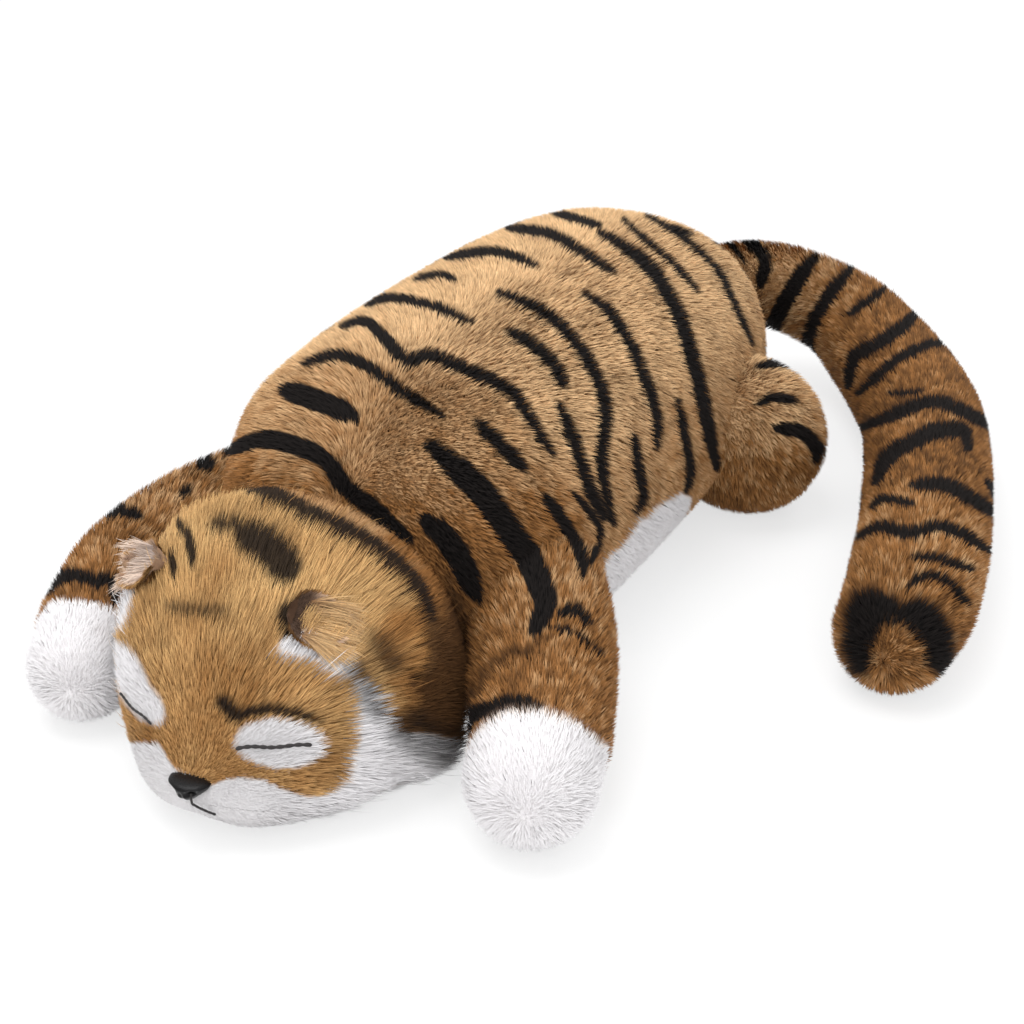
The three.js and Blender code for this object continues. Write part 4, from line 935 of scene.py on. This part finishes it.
def backing(name, form, coat, paint, body, node, inset=SKIN, keeps=(), open_ends=False):
    """The stuffed backing under a pile: the form shrunk a little, cut by planes of point and kept side."""
    made = closed_object(name, form.shrunk(inset), coat)
    work = bmesh.new()
    work.from_mesh(made.data)
    for point, keep in keeps:
        parts = work.verts[:] + work.edges[:] + work.faces[:]
        at = np.array(point) * MM
        bmesh.ops.bisect_plane(work, geom=parts, plane_co=at, plane_no=keep, clear_inner=True)
        if not open_ends:
            bmesh.ops.holes_fill(work, edges=[e for e in work.edges if e.is_boundary], sides=0)
    work.to_mesh(made.data)
    work.free()
    painted(made, paint)
    settle(made, body, node)
    return made


class Pile:
    """Roots of pile, each with the backing's normal, the way that it lies, and its place on the outline."""

    def __init__(self, root, up, way, outer, rng):
        self.root, self.up, self.outer, self.rng = root, up, outer, rng
        self.way = unit(way - up * dot(way, up)[:, None])
        self.count = len(root)

    def part(self, chosen):
        return Pile(self.root[chosen], self.up[chosen], self.way[chosen], self.outer[chosen], self.rng)


def sown(form, density, seed, inset=SKIN, keep=None, others=(), tuck=12):
    """Pile all over a form, so many to the square mm, apart from what is deeper than tuck in other forms."""
    rng = np.random.default_rng(SEED + seed)
    grid = form.shrunk(inset)
    a, b = grid[:-1], np.roll(grid[:-1], -1, 1)
    c, d = grid[1:], np.roll(grid[1:], -1, 1)
    halves = np.cross(b - a, c - a), np.cross(b - d, c - d)
    area = sum(np.linalg.norm(half, axis=-1) for half in halves) / 2
    count = int(area.sum() * density)
    level = np.cumsum(area.ravel())
    cell = np.searchsorted(level, (np.arange(count) + rng.random(count)) / count * level[-1])
    cell = np.minimum(cell, area.size - 1)
    sides = area.shape[1]
    i, j = cell // sides, cell % sides
    k = (j + 1) % sides
    u, v = rng.random((2, count, 1))

    def blended(field):
        near = field[i, j] * (1 - u) + field[i, k] * u
        return near * (1 - v) + (field[i + 1, j] * (1 - u) + field[i + 1, k] * u) * v

    outer = blended(form.grid)
    stays = np.ones(count, bool) if keep is None else keep(outer)
    for other in others:
        stays &= other.depth(outer) < tuck
    return Pile(blended(grid), unit(blended(form.normal)), blended(form.flow), outer, rng).part(stays)


PRIMES = np.array([73856093, 19349663, 83492791])  # they give each cell of space a number of its own


def clump_pull(points, size):
    """From each point to the middle of the clump that it belongs to."""
    warped = points + 0.6 * size * noise(points, 2.2 * size)
    cell = np.floor(warped / size).astype(np.int64)
    key = np.bitwise_xor.reduce(cell * PRIMES, axis=1)
    _, index, counts = np.unique(key, return_inverse=True, return_counts=True)
    middle = np.stack([np.bincount(index, points[:, k]) for k in range(3)], -1) / counts[:, None]
    pull = middle[index] - points
    return pull * np.minimum(1, size / np.maximum(np.linalg.norm(pull, axis=1), 1e-6))[:, None]


BLADE_LENGTHS, BLADE_WIDTHS = (0.78, 1.15), (0.75, 1.25)  # shares, at random for each blade
GUSTS = ((11, 3.3, 1.0), (3.1, 7.7, 0.6))  # scale, shift and share of the noise that turns blades together
GUST_TILT, OWN_TILT = 9, 6  # degrees
UP_SHARE = 0.75  # how far every blade is shaded like its backing


def blades(name, pile, coat, paint, body, slot, length, width=0.5, segments=2, rise=72, lie=30, tidy=0.6,
           clump=1.7, swirl=14, crisp=0.45, squashed=False):
    """Tapered, bent blades of pile as one mesh. Rise and lie are the angles to the backing at root and tip,
    and crisp is how far each blade is shaded by its own side."""
    rng, n = pile.rng, pile.count
    reach = length(pile.outer) if callable(length) else np.full(n, float(length))
    reach = reach * rng.uniform(*BLADE_LENGTHS, n)
    gust = sum(share * noise(pile.root, scale, shift) for scale, shift, share in GUSTS)
    turn = np.radians(swirl * gust[:, 0] + rng.normal(0, 0.4 * swirl, n))[:, None]
    across = np.cross(pile.up, pile.way)
    way = pile.way * np.cos(turn) + across * np.sin(turn)
    pull = clump_pull(pile.root, clump) * tidy
    pull -= pile.up * dot(pull, pile.up)[:, None]
    up_angle = np.radians(rise + GUST_TILT * gust[:, 1] + rng.normal(0, OWN_TILT, n))
    end_angle = np.radians(lie + GUST_TILT * gust[:, 2] + rng.normal(0, OWN_TILT, n))
    points = [pile.root]
    for k in range(segments):
        share = (k + 0.5) / segments
        angle = (up_angle * (1 - share) + end_angle * share)[:, None]
        step = way * np.cos(angle) + pile.up * np.sin(angle)
        points.append(points[-1] + step * (reach / segments)[:, None] + pull / segments)
    points = np.stack(points, 1)
    low = GROUND + 0.5 * rng.random(n)[:, None]
    points[..., 2] = np.maximum(points[..., 2], low)
    tangent = unit(np.gradient(points, axis=1))
    flat = unit(np.cross(tangent, pile.up[:, None]) + 0.25 * rng.normal(0, 1, (n, 1, 3)))
    widths = np.linspace(1, 0.62 if segments > 2 else 0.8, segments)
    half = (0.5 * width * widths)[None, :, None] * rng.uniform(*BLADE_WIDTHS, n)[:, None, None]
    left, right = points[:, :-1] - flat[:, :-1] * half, points[:, :-1] + flat[:, :-1] * half
    corners = np.concatenate([np.stack([left, right], 2).reshape(n, -1, 3), points[:, -1:]], 1)
    per = corners.shape[1]
    faces = [2 * k + one for k in range(segments - 1) for one in (0, 1, 3, 2)] + [per - 3, per - 2, per - 1]
    sizes = [4] * (segments - 1) + [3]
    index = (np.arange(n)[:, None] * per + np.array(faces)[None]).ravel()
    made = mesh_object(name, corners, index, np.tile(sizes, n), coat)
    place = points[:, 0] * 0.35 + points[:, -1] * 0.65
    values = paint(place, pile.up)
    along = np.concatenate([np.repeat(np.arange(segments) / segments, 2), [1.0]])
    rand = np.clip(0.5 + 0.2 * rng.normal(0, 1, n) + 0.2 * gust[:, 0], 0, 1)
    mesh = made.data
    set_values(mesh, along=np.tile(along, n), rand=np.repeat(rand, per),
               **{key: np.repeat(value, per) for key, value in values.items()})
    lay_out(mesh, faces, per, n, values, rand)
    shade_like_backing(mesh, pile.up, tangent, flat, crisp)
    settle(made, body)
    if squashed:
        breathe(made)


# of one piece, so that its export keeps every one
MOST_TRIANGLES = 198_000  # MOST_TRIANGLES = 198_000 # the most triangles of one piece


def grow(name, pile, coat, paint, body, slot, length, segments=2, **shape):
    """Blades in as many pieces as they need, parted along Y."""
    most = MOST_TRIANGLES // (2 * segments - 1)
    parts = max(1, math.ceil(pile.count / most))
    rank = np.empty(pile.count, int)
    rank[np.argsort(pile.root[:, 1], kind="stable")] = np.arange(pile.count) * parts // max(pile.count, 1)
    for k in range(parts):
        label = f"{name}_{k + 1}" if parts > 1 else name
        blades(label, pile.part(rank == k), coat, paint, body, slot, length, segments=segments, **shape)


CELLS = 64  # cells along a side of the map that blades share, those of like colour together
CELL_SIDES, CELL_FOOT, CELL_TALL = (0.15, 0.85), 0.12, 0.76  # where a blade lies in its cell


def lay_out(mesh, faces, per, n, values, rand):
    """A map for textures: blades of like colour share a cell, with the root at its foot."""
    dark, white, tone = (np.clip(values[key], 0, 1) for key in ("dark", "white", "tone"))
    order = np.lexsort((rand, np.round(tone * 6), np.round(white * 6), np.round(dark * 6)))
    cell = np.empty(n, int)
    cell[order] = np.arange(n) * (CELLS * CELLS) // max(n, 1)
    corner_of = np.array(faces)
    tip = corner_of == per - 1
    u = np.where(tip, 0.5, np.take(CELL_SIDES, corner_of % 2))
    v = CELL_FOOT + CELL_TALL * np.where(tip, 1.0, corner_of // 2 / (per // 2))
    place = np.stack([(cell % CELLS)[:, None] + u, (cell // CELLS)[:, None] + v], -1) / CELLS
    layer = mesh.uv_layers.new(name="OFBake")
    layer.uv.foreach_set("vector", place.astype(np.float32).ravel())


def shade_like_backing(mesh, up, tangent, flat, crisp):
    """Normals that lean to the backing's, so that the pile shades as one soft surface."""
    own = unit(np.cross(flat, tangent))
    own *= np.where(dot(own, up[:, None]) < 0, -1, 1)[..., None]
    lean = unit(crisp * own + UP_SHARE * up[:, None])
    rows = np.concatenate([np.repeat(lean[:, :-1], 2, 1), lean[:, -1:]], 1).reshape(-1, 3)
    mesh.normals_split_custom_set_from_vertices(rows)


def breathe(made):
    """Gives a piece of the trunk's plush its own copy of its mesh."""
    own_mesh(made)


# Torso and belly

BELLY_WAY = {"half": 30, "front": 12, "back": 90, "clear": 3}
CLOTH = 1.4  # thickness of the torso's cover


def outside_belly_way(points):
    half, front, back, clear = BELLY_WAY.values()
    x, y, z = points.T
    return (np.abs(x) >= half + clear) | (y <= front - clear) | (y >= back + clear) | (z >= BELLY_SEAM)


def torso_length(points):
    return 5.3 - 1.6 * ease(12, 2, points[:, 2])


def build_torso():
    cover = backing("torso_skin", torso, TAN_KNIT, torso_paint, "body", "torso_cover",
                    keeps=[((0, 0, BELLY_SEAM + SEAM_GAP), (0, 0, 1))], open_ends=True)
    cloth = cover.modifiers.new("cloth", "SOLIDIFY")
    cloth.thickness = CLOTH * MM
    cloth.offset = -1
    apply_modifiers(cover)
    panel = backing("belly_skin", torso, SNOW_KNIT, torso_paint, "body", "belly_panel",
                    keeps=[((0, 0, BELLY_SEAM - SEAM_GAP), (0, 0, -1))])
    open_belly(panel)
    for made in (cover, panel):
        breathe(made)
    others = [head, front_left, front_right, hind_left, hind_right, tail]
    pile = sown(torso, density=1.75, seed=1, others=others, keep=outside_belly_way)
    low = pile.outer[:, 2] < BELLY_SEAM
    grow("torso_pile", pile.part(~low), TAN, torso_paint, "body", "tan_plush", torso_length, squashed=True)
    grow("belly_pile", pile.part(low), TAN, torso_paint, "body", "white_plush", torso_length, squashed=True)


def apply_modifiers(made):
    graph = bpy.context.evaluated_depsgraph_get()
    mesh = bpy.data.meshes.new_from_object(made.evaluated_get(graph), depsgraph=graph)
    made.modifiers.clear()
    made.data = mesh


def open_belly(panel):
    """Cuts the way to the battery door and the power switch."""
    way = BELLY_WAY
    low, high = np.array([-way["half"], way["front"], -5]), np.array([way["half"], way["back"], 20])
    corners = [np.where(bits, high, low) for bits in np.ndindex(2, 2, 2)]
    faces = [0, 1, 3, 2, 4, 6, 7, 5, 0, 4, 5, 1, 2, 3, 7, 6, 0, 2, 6, 4, 1, 5, 7, 3]
    cutter = mesh_object("way", corners, faces, [4] * 6)
    cut = panel.modifiers.new("way", "BOOLEAN")
    cut.operation, cut.solver, cut.object = "DIFFERENCE", "EXACT", cutter
    bpy.context.view_layer.update()
    apply_modifiers(panel)
    bpy.data.objects.remove(cutter)
    painted(panel, torso_paint)


# Threads

STRAND_SIDES = 10
SLANT = (0.13, 0.21, 1.0)  # no thread runs this way
THREAD_END = 0.15  # how thin a thread ends


def thread(name, node, line, radius, wave, stitches):
    """A round strand on the face along a line of points, with stitches along it as swellings."""
    line = np.asarray(line, float)
    way = unit(np.gradient(line, axis=0))
    side = unit(np.cross(way, SLANT))
    high = np.cross(way, side)
    share = np.linspace(0, 1, len(line))
    thick = radius * (1 + wave * np.abs(np.sin(np.pi * stitches * share)) - wave / 2)
    thick[[0, -1]] = THREAD_END * radius
    grid = line[:, None] + thick[:, None, None] * all_round(side, high, STRAND_SIDES)
    settle(closed_object(name, grid, FINISHES["thread"]), "head", node)


EYE = {"middle": 1, "inner": 18, "outer": 41, "z": 39.6, "arch": 1.1, "thread": 0.62}
MOUTH = [(192, 792), (192, 798), (193, 803), (200, 807), (209, 811), (217, 814)]  # in the photo's frame
PROUD = np.array([0, -0.75, 0.35])  # a thread on the face lies on the tips of the pile
RAY_STEPS = np.arange(600, 1200, 0.25)  # from the camera


def under_pixel(form, x, y):
    """Where the camera's ray through a pixel first meets a form."""
    ray = unit(RIGHT * (x - FRAME / 2) / VIEW["focal"] - UP * (y - FRAME / 2) / VIEW["focal"] - BACK)
    inside = form.depth(EYE_POINT + RAY_STEPS[:, None] * ray) > 0
    return EYE_POINT + RAY_STEPS[np.argmax(inside)] * ray


def build_threads():
    share = np.linspace(0, 1, 60)
    for name, side in (("eye_stitch_left", 1), ("eye_stitch_right", -1)):
        x = EYE["middle"] + side * (EYE["inner"] + (EYE["outer"] - EYE["inner"]) * share)
        z = EYE["z"] + EYE["arch"] * np.sin(np.pi * share) + 0.35 * np.sin(9 * share)
        line = head.front_at(x, z) + PROUD * (1 if side > 0 else 0.2)
        radius = EYE["thread"] * (1 if side > 0 else 0.7)
        thread(name + "_thread", name, line, radius, wave=0.5, stitches=9)
    corners = np.array([under_pixel(head, x, y) for x, y in MOUTH])
    share = np.linspace(0, len(MOUTH) - 1, 40)
    line = np.stack([np.interp(share, np.arange(len(MOUTH)), corners[:, k]) for k in range(3)], -1)
    thread("mouth_thread", "mouth_stitch", line + 2.0 * BACK, radius=0.42, wave=0.4, stitches=10)


# Nose

NOSE = {"middle": (4.6, -264.0, 26.4), "half_width": 8.6, "half_height": 6.2, "depth": 7.0, "back": 5,
        "tilt": 4}
NOSTRIL = {"x": 3.6, "depth": 2.1}


def build_nose():
    """A glossy rounded triangle, flat on top, with two nostrils and a groove down to the mouth."""
    sides, rings = 96, 40
    u, v = np.cos(turns(sides)), np.sin(turns(sides))
    narrow = 1 - 0.55 * ease(0.35, -1.0, v)
    outline = np.stack([
        np.sign(u) * np.abs(u) ** 0.85 * narrow * NOSE["half_width"],
        np.where(v > 0, np.abs(v) ** 0.6 * 0.42, -np.abs(v) ** 0.95) * NOSE["half_height"],
    ], -1)
    rows = [(share, -NOSE["back"] * (1 - 0.2 * share)) for share in (0.02, 0.5, 0.8)]
    rows += [(0.93, -0.55 * NOSE["back"]), (0.985, -0.2 * NOSE["back"])]
    for k in range(rings):
        share = math.cos(math.pi / 2 * k / rings)
        rows.append((max(share, 0.012), NOSE["depth"] * (1 - share ** 2.4) ** 0.62))
    grid = []
    for share, deep in rows:
        ring = outline * share
        dip = np.zeros(sides)
        for side in (-1, 1):
            across = ring[:, 0] - side * NOSTRIL["x"]
            far = np.hypot(across / 1.9, (ring[:, 1] + 0.9 - 0.25 * side * across) / 1.15)
            dip += NOSTRIL["depth"] * np.exp(-far ** 2)
        dip += 0.9 * np.exp(-(ring[:, 0] / 0.8) ** 2) * ease(0.5, -2.5, ring[:, 1])
        dip = np.where(deep > 0, dip, 0)
        grid.append(np.stack([ring[:, 0], -(deep - dip), ring[:, 1]], -1))
    grid = np.array(grid)
    a = math.radians(NOSE["tilt"])
    y = grid[..., 1] * math.cos(a) + grid[..., 2] * math.sin(a)
    z = grid[..., 2] * math.cos(a) - grid[..., 1] * math.sin(a)
    grid = np.stack([grid[..., 0], y, z], -1) + NOSE["middle"]
    settle(closed_object("nose_moulding", grid, FINISHES["nose_plastic"]), "head", "nose")


# Ears: soft cupped flaps that lie back from the face

EARS = {  # hair: its coat, number, length, white and swirl
    "ear_left": {"root": (19.5, -215.5, 73.5), "way": (0.82, 0.34, -0.28), "face": (-0.10, -0.62, 0.78),
                 "width": 18, "shadow": 0.9, "hair": (GOLD, 1100, 17.0, 0.05, 18)},
    "ear_right": {"root": (-43, -208, 76), "way": (-0.90, 0.02, -0.42), "face": (-0.22, -0.60, 0.77),
                  "width": 16, "shadow": 0.25, "hair": (INNER_EAR, 700, 15.0, 0.3, 12)},
}
EAR_SPOTS = {  # least and most across, least and most along
    "all_over": (-0.97, 0.97, 0.0, 0.97), "rim": (0.86, 1.0, -0.05, 0.9), "opening": (-0.9, 0.8, 0.2, 0.6),
}
EAR_LENGTH, EAR_THICK, EAR_RINGS, EAR_SIDES = 20, 2.6, 26, 40


def ear_frame(ear):
    way = unit(ear["way"])
    face = unit(np.array(ear["face"]) - way * dot(ear["face"], way))
    return np.array(ear["root"], float), way, face, np.cross(face, way)


def ear_surface(ear, across, along, lift):
    """Points of an ear: across from -1 to 1, along from 0 at its root to 1, lift above its middle layer."""
    root, way, face, side = ear_frame(ear)
    half = ear["width"] / 2 * np.sqrt(np.clip(1 - ((along - 0.44) / 0.57) ** 2, 0.0, 1))
    curl = 6.0 * np.abs(across) ** 2.2 * (1 - 0.35 * along) - 2.5 * np.sin(np.pi * np.clip(along, 0, 1))
    middle = root + along[..., None] * EAR_LENGTH * way + (across * half)[..., None] * side
    return middle + (curl + lift)[..., None] * face


def ear_paint(ear, dark, white, tone, shadow):
    """Colours of an ear, with painted shade in the hollow at its root."""
    root, way, _, _ = ear_frame(ear)

    def paint(points, normals):
        n = len(points)
        hollow_shade = ease(9, 3, dot(points - root, way)) * shadow
        level = tone + 0.3 * noise(points, 4)[:, 0] + hollow_shade
        return {"dark": np.clip(dark + 0.75 * hollow_shade, 0, 1), "white": np.full(n, white), "ash": np.zeros(n),
                "tone": np.clip(level, 0, 1)}
    return paint


def ear_pile(ear, count, seed, spots, above, lift, aim):
    """Pile on an ear at random spots. Aim says how it grows outwards, and more so along the ear, and how it
    grows sideways, and more so across it."""
    rng = np.random.default_rng(SEED + seed)
    low, high, first, last = EAR_SPOTS[spots]
    sides = rng.choice([-1.0, 1.0], count) if spots == "rim" else 1
    across = sides * rng.uniform(low, high, count)
    along = rng.uniform(first, last, count)
    root = ear_surface(ear, across, along, np.full(count, lift))
    _, way, face, side = ear_frame(ear)
    aim = way * (aim[0] + aim[1] * along)[:, None] + side * (aim[2] + aim[3] * across)[:, None]
    return Pile(root, np.broadcast_to(face * above, root.shape), aim, root, rng)


OUTWARDS, SWEPT = (0.5, 1, 0, 0.9), (1, 0, -0.05, 0.3)
EAR_COATS = [  # name, material, number, spots, side and lift, colours, length, width, rise, lie
    ("fuzz", INNER_EAR, 2600, "all_over", (1, 0.8), (0.0, 0.05, 0.3), 3.0, 0.4, 45, 15),
    ("back", GOLD, 3200, "all_over", (-1, -0.8), (0.1, 0.0, 0.8), 4.2, 0.42, 50, 15),
    ("rim", GOLD, 1500, "rim", (1, 0.2), (0.0, 0.0, 0.5), 3.6, 0.4, 30, 0),
]


def build_ear(node, ear, seed):
    along = -0.12 + 1.12 * (np.arange(EAR_RINGS) + 0.02) / (EAR_RINGS - 1 + 0.04)
    thin = EAR_THICK * (1 - 0.5 * ease(0.6, 1.0, along))
    turn = turns(EAR_SIDES)
    grid = np.array([ear_surface(ear, np.cos(turn), np.full(EAR_SIDES, at), thick / 2 * np.sin(turn))
                     for at, thick in zip(along, thin)])
    made = closed_object(node + "_flap", grid, INNER_EAR)
    painted(made, ear_paint(ear, 0.0, 0.0, 0.5, ear["shadow"]), 0.6)
    settle(made, "head", node)
    for k, (name, coat, count, spots, layer, paint, length, width, rise, lie) in enumerate(EAR_COATS):
        pile = ear_pile(ear, count, seed + k, spots, *layer, OUTWARDS)
        colouring = ear_paint(ear, *paint, ear["shadow"])
        blades(f"{node}_{name}", pile, coat, colouring, "head", "gold_plush", length,
               width=width, rise=rise, lie=lie, clump=1.2)
    coat, count, length, white, swirl = ear["hair"]
    pile = ear_pile(ear, count, seed + len(EAR_COATS), "opening", 1, 1.0, SWEPT)
    blades(node + "_hair", pile, coat, ear_paint(ear, 0.0, white, 0.0, 0.0), "head", "gold_plush", length,
           width=0.3, segments=4, rise=30, lie=-12, clump=2.2, swirl=swirl)


# Head

RUFFS = [(62, -190, 12), (-52, -190, 12)]


def bare(points):
    """1 where the pile of the face is shortest: the muzzle and the eye patches."""
    muzzle = ease(46, 24, from_nose(points)) * ease(34, 20, points[..., 2])
    eyes = sum(near_spot(points, spot, 13) for spot in EYE_SPOTS)
    return np.clip(muzzle + 0.7 * eyes, 0, 1)


def head_inset(points):
    deep = 1.5 + 2.9 * ease(16, 70, from_nose(points))
    return deep * (1 - 0.5 * bare(points)) * (1 - 0.3 * ease(12, 2, points[..., 2]))


def head_length(points):
    away = ease(16, 85, from_nose(points))
    long = 3.6 + 8.4 * away + 3 * near_spot(points, BEHIND_EAR, 26) + 2 * near_spot(points, CROWN_SPOT, 40)
    shade, = read_marks(points, unit(points - HEAD_MIDDLE), head_mirrored, HEAD_SHADES)
    long = long - 5.5 * shade * away
    ruff = sum(5 * near_spot(points, spot, 26) for spot in RUFFS)
    return (long + ruff) * (1 - 0.55 * bare(points))


def nape_length(points):
    return 5.6 + 4 * near_spot(points, CREVICE, 22)


def stray_length(points):
    return 1.35 * head_length(points) + 2


def build_head():
    slope = math.atan2(CHIN_SEAM["front"] - CHIN_SEAM["back"], CHIN_SEAM["backY"] - CHIN_SEAM["frontY"])
    point = np.array([0, CHIN_SEAM["frontY"], CHIN_SEAM["front"]])
    up = np.array([0, math.sin(slope), math.cos(slope)])
    upper = backing("head_skin", head, GOLD_KNIT, head_paint, "head", "head_cover",
                    inset=head_inset, keeps=[(point + SEAM_GAP * up, up)])
    lower = backing("chin_skin", head, SNOW_KNIT, head_paint, "head", "chin_panel",
                    inset=head_inset, keeps=[(point - SEAM_GAP * up, -up)])
    pile = sown(head, density=2.5, seed=2, inset=head_inset, others=[torso], tuck=14)
    low = dot(pile.outer - point, up) < 0
    hair = {"width": 0.36, "segments": 3, "rise": 40, "lie": 6, "clump": 2.0, "tidy": 0.45, "swirl": 10}
    shade, = read_marks(pile.outer, pile.up, head_mirrored, HEAD_SHADES)
    nape = (shade > 0.5) & (pile.outer[:, 1] > -215)
    grow("head_hair", pile.part(~low & ~nape), GOLD, head_paint, "head", "gold_plush", head_length, **hair)
    grow("nape_pile", pile.part(~low & nape), TAN, head_paint, "head", "gold_plush", nape_length,
         rise=58, lie=22)
    grow("chin_pile", pile.part(low), GOLD, head_paint, "head", "white_plush", head_length, **hair)
    loose = sown(head, density=0.035, seed=8, inset=head_inset, others=[torso], tuck=4,
                 keep=lambda points: from_nose(points) > 40)
    blades("head_stray_hair", loose, GOLD, head_paint, "head", "gold_plush", stray_length,
           width=0.26, segments=4, rise=40, lie=4, tidy=0.2, swirl=26)


# Limbs

PAW_LOOKS = {"length": 4.8, "rise": 62, "lie": 24, "swirl": 30, "clump": 1.5, "tidy": 0.35, "width": 0.44,
             "crisp": 0.12}


def build_limb(name, limb, body, paint, seed, split=None, second=None, length=5.2, density=1.7):
    """A limb's backing and pile, with a second piece past the seam at a share of its line."""
    point, way = limb.cut_at(split or 1)
    coats = [(name, paint, "tan_plush", -way, {"length": length, "swirl": 20})]
    if second:
        piece, end_paint, slot = second
        looks = PAW_LOOKS if slot == "white_plush" else {"length": 5.4}
        coats.append((piece, end_paint, slot, way, looks))
    for piece, colouring, slot, keep, looks in coats:
        made = backing(piece + "_skin", limb, TAN_KNIT, colouring, body, piece,
                       keeps=[(point + keep * SEAM_GAP, keep)] if split else [])
        pile = sown(limb, density, seed, others=[torso],
                    keep=lambda p: dot(p - point, keep) > 0 if split else np.ones(len(p), bool))
        grow(piece + "_pile", pile, TAN, colouring, body, slot, **looks)
        seed += 20


def front_length(points):
    """The near leg's pile is longer where it meets the head."""
    return 5.2 + 4 * near_spot(points, CREVICE, 20)


def build_limbs():
    front_legs = [("left", front_left, WRIST_LEFT, 3), ("right", front_right, WRIST_RIGHT, 4)]
    for side, limb, wrist, seed in front_legs:
        upper, lower = (limb_paint(limb, LEG_MARKS, front_tone, end, fold_shade=0.7) for end in (None, wrist))
        paw = (f"front_paw_{side}", lower, "white_plush")
        build_limb(f"front_leg_{side}", limb, f"front_{side}", upper, seed, wrist, paw, length=front_length)
    build_limb("hind_leg_left", hind_left, "hind_left", limb_paint(hind_left, LEG_MARKS, hind_tone), 5)
    build_limb("hind_leg_right", hind_right, "hind_right", hind_right_paint, 6)
    tip = ("tail_tip", limb_paint(tail, TIP_MARKS, TIP_TONE), "dark_plush")
    build_limb("tail", tail, "tail", limb_paint(tail, TAIL_MARKS, tail_tone), 7, TAIL_TIP, tip, density=1.55)


# Floor, light and camera

LAMPS = [  # name, place, size, watts
    ("key", (-350, -250, 1700), 1100, 16),
    ("fill", (700, -1300, 1000), 1200, 8.7),
    ("rim", (200, 1300, 1000), 900, 5),
]
FLOOR_HALF = 6000


def choose_by_ray(n, usual, direct, output):
    """Gives an output one shader, or another for rays from the camera, in mirrors and through glass."""
    rays = n.node("LightPath").outputs
    seen = n.maths("MAXIMUM", rays["Is Camera Ray"], rays["Is Glossy Ray"])
    seen = n.maths("MAXIMUM", seen, rays["Is Transmission Ray"])
    choice = n.node("MixShader")
    for source, place in zip((seen, usual, direct), choice.inputs):
        n.link(source, place)
    n.link(choice.outputs[0], n.tree.nodes[output].inputs["Surface"])


def build_stage():
    n = new_material("floor")
    for key, value in (("Base Color", (0.9, 0.9, 0.9, 1)), ("Roughness", 0.9), ("Specular IOR Level", 0.1)):
        n.shader.inputs[key].default_value = value
    both = n.node("AddShader")
    n.link(n.node("BsdfDiffuse", color=(0.3, 0.3, 0.3, 1)).outputs[0], both.inputs[0])
    n.link(n.node("Emission", strength=0.69).outputs[0], both.inputs[1])
    choose_by_ray(n, n.shader.outputs[0], both.outputs[0], "Material Output")
    half = FLOOR_HALF
    corners = [[-half, -half, 0], [half, -half, 0], [half, half, 0], [-half, half, 0]]
    mesh_object("floor", corners, [0, 1, 2, 3], [4], n.owner)
    n = Nodes(bpy.data.worlds.new("studio"))
    bpy.context.scene.world = n.owner
    light = n.tree.nodes["Background"]
    light.inputs["Color"].default_value = (1, 1, 1, 1)
    light.inputs["Strength"].default_value = 0.785
    backdrop = n.node("Background", strength=1.0, color=(1, 1, 1, 1))
    choose_by_ray(n, light.outputs[0], backdrop.outputs[0], "World Output")
    for name, place, size, power in LAMPS:
        data = bpy.data.lights.new(name, "AREA")
        data.size = size * MM
        data.energy = power
        lamp = bpy.data.objects.new(name, data)
        lamp.location = np.array(place) * MM
        lamp.rotation_euler = (-lamp.location).to_track_quat("-Z", "Y").to_euler()
        bpy.context.scene.collection.objects.link(lamp)


def build_camera():
    data = bpy.data.cameras.new("camera")
    data.sensor_width = SENSOR
    data.lens = VIEW["focal"] * SENSOR / FRAME
    camera = bpy.data.objects.new("camera", data)
    camera.location = EYE_POINT * MM
    camera.rotation_euler = (math.radians(90 - VIEW["elevation"]), 0, math.radians(VIEW["azimuth"]))
    bpy.context.scene.collection.objects.link(camera)
    bpy.context.scene.camera = camera


bpy.context.scene.view_settings.view_transform = "Standard"
build_camera()
build_stage()
finish_inner_parts()
build_torso()
build_head()
for order, (node, ear) in enumerate(EARS.items()):
    build_ear(node, ear, 40 + 10 * order)
build_nose()
build_threads()
build_limbs()
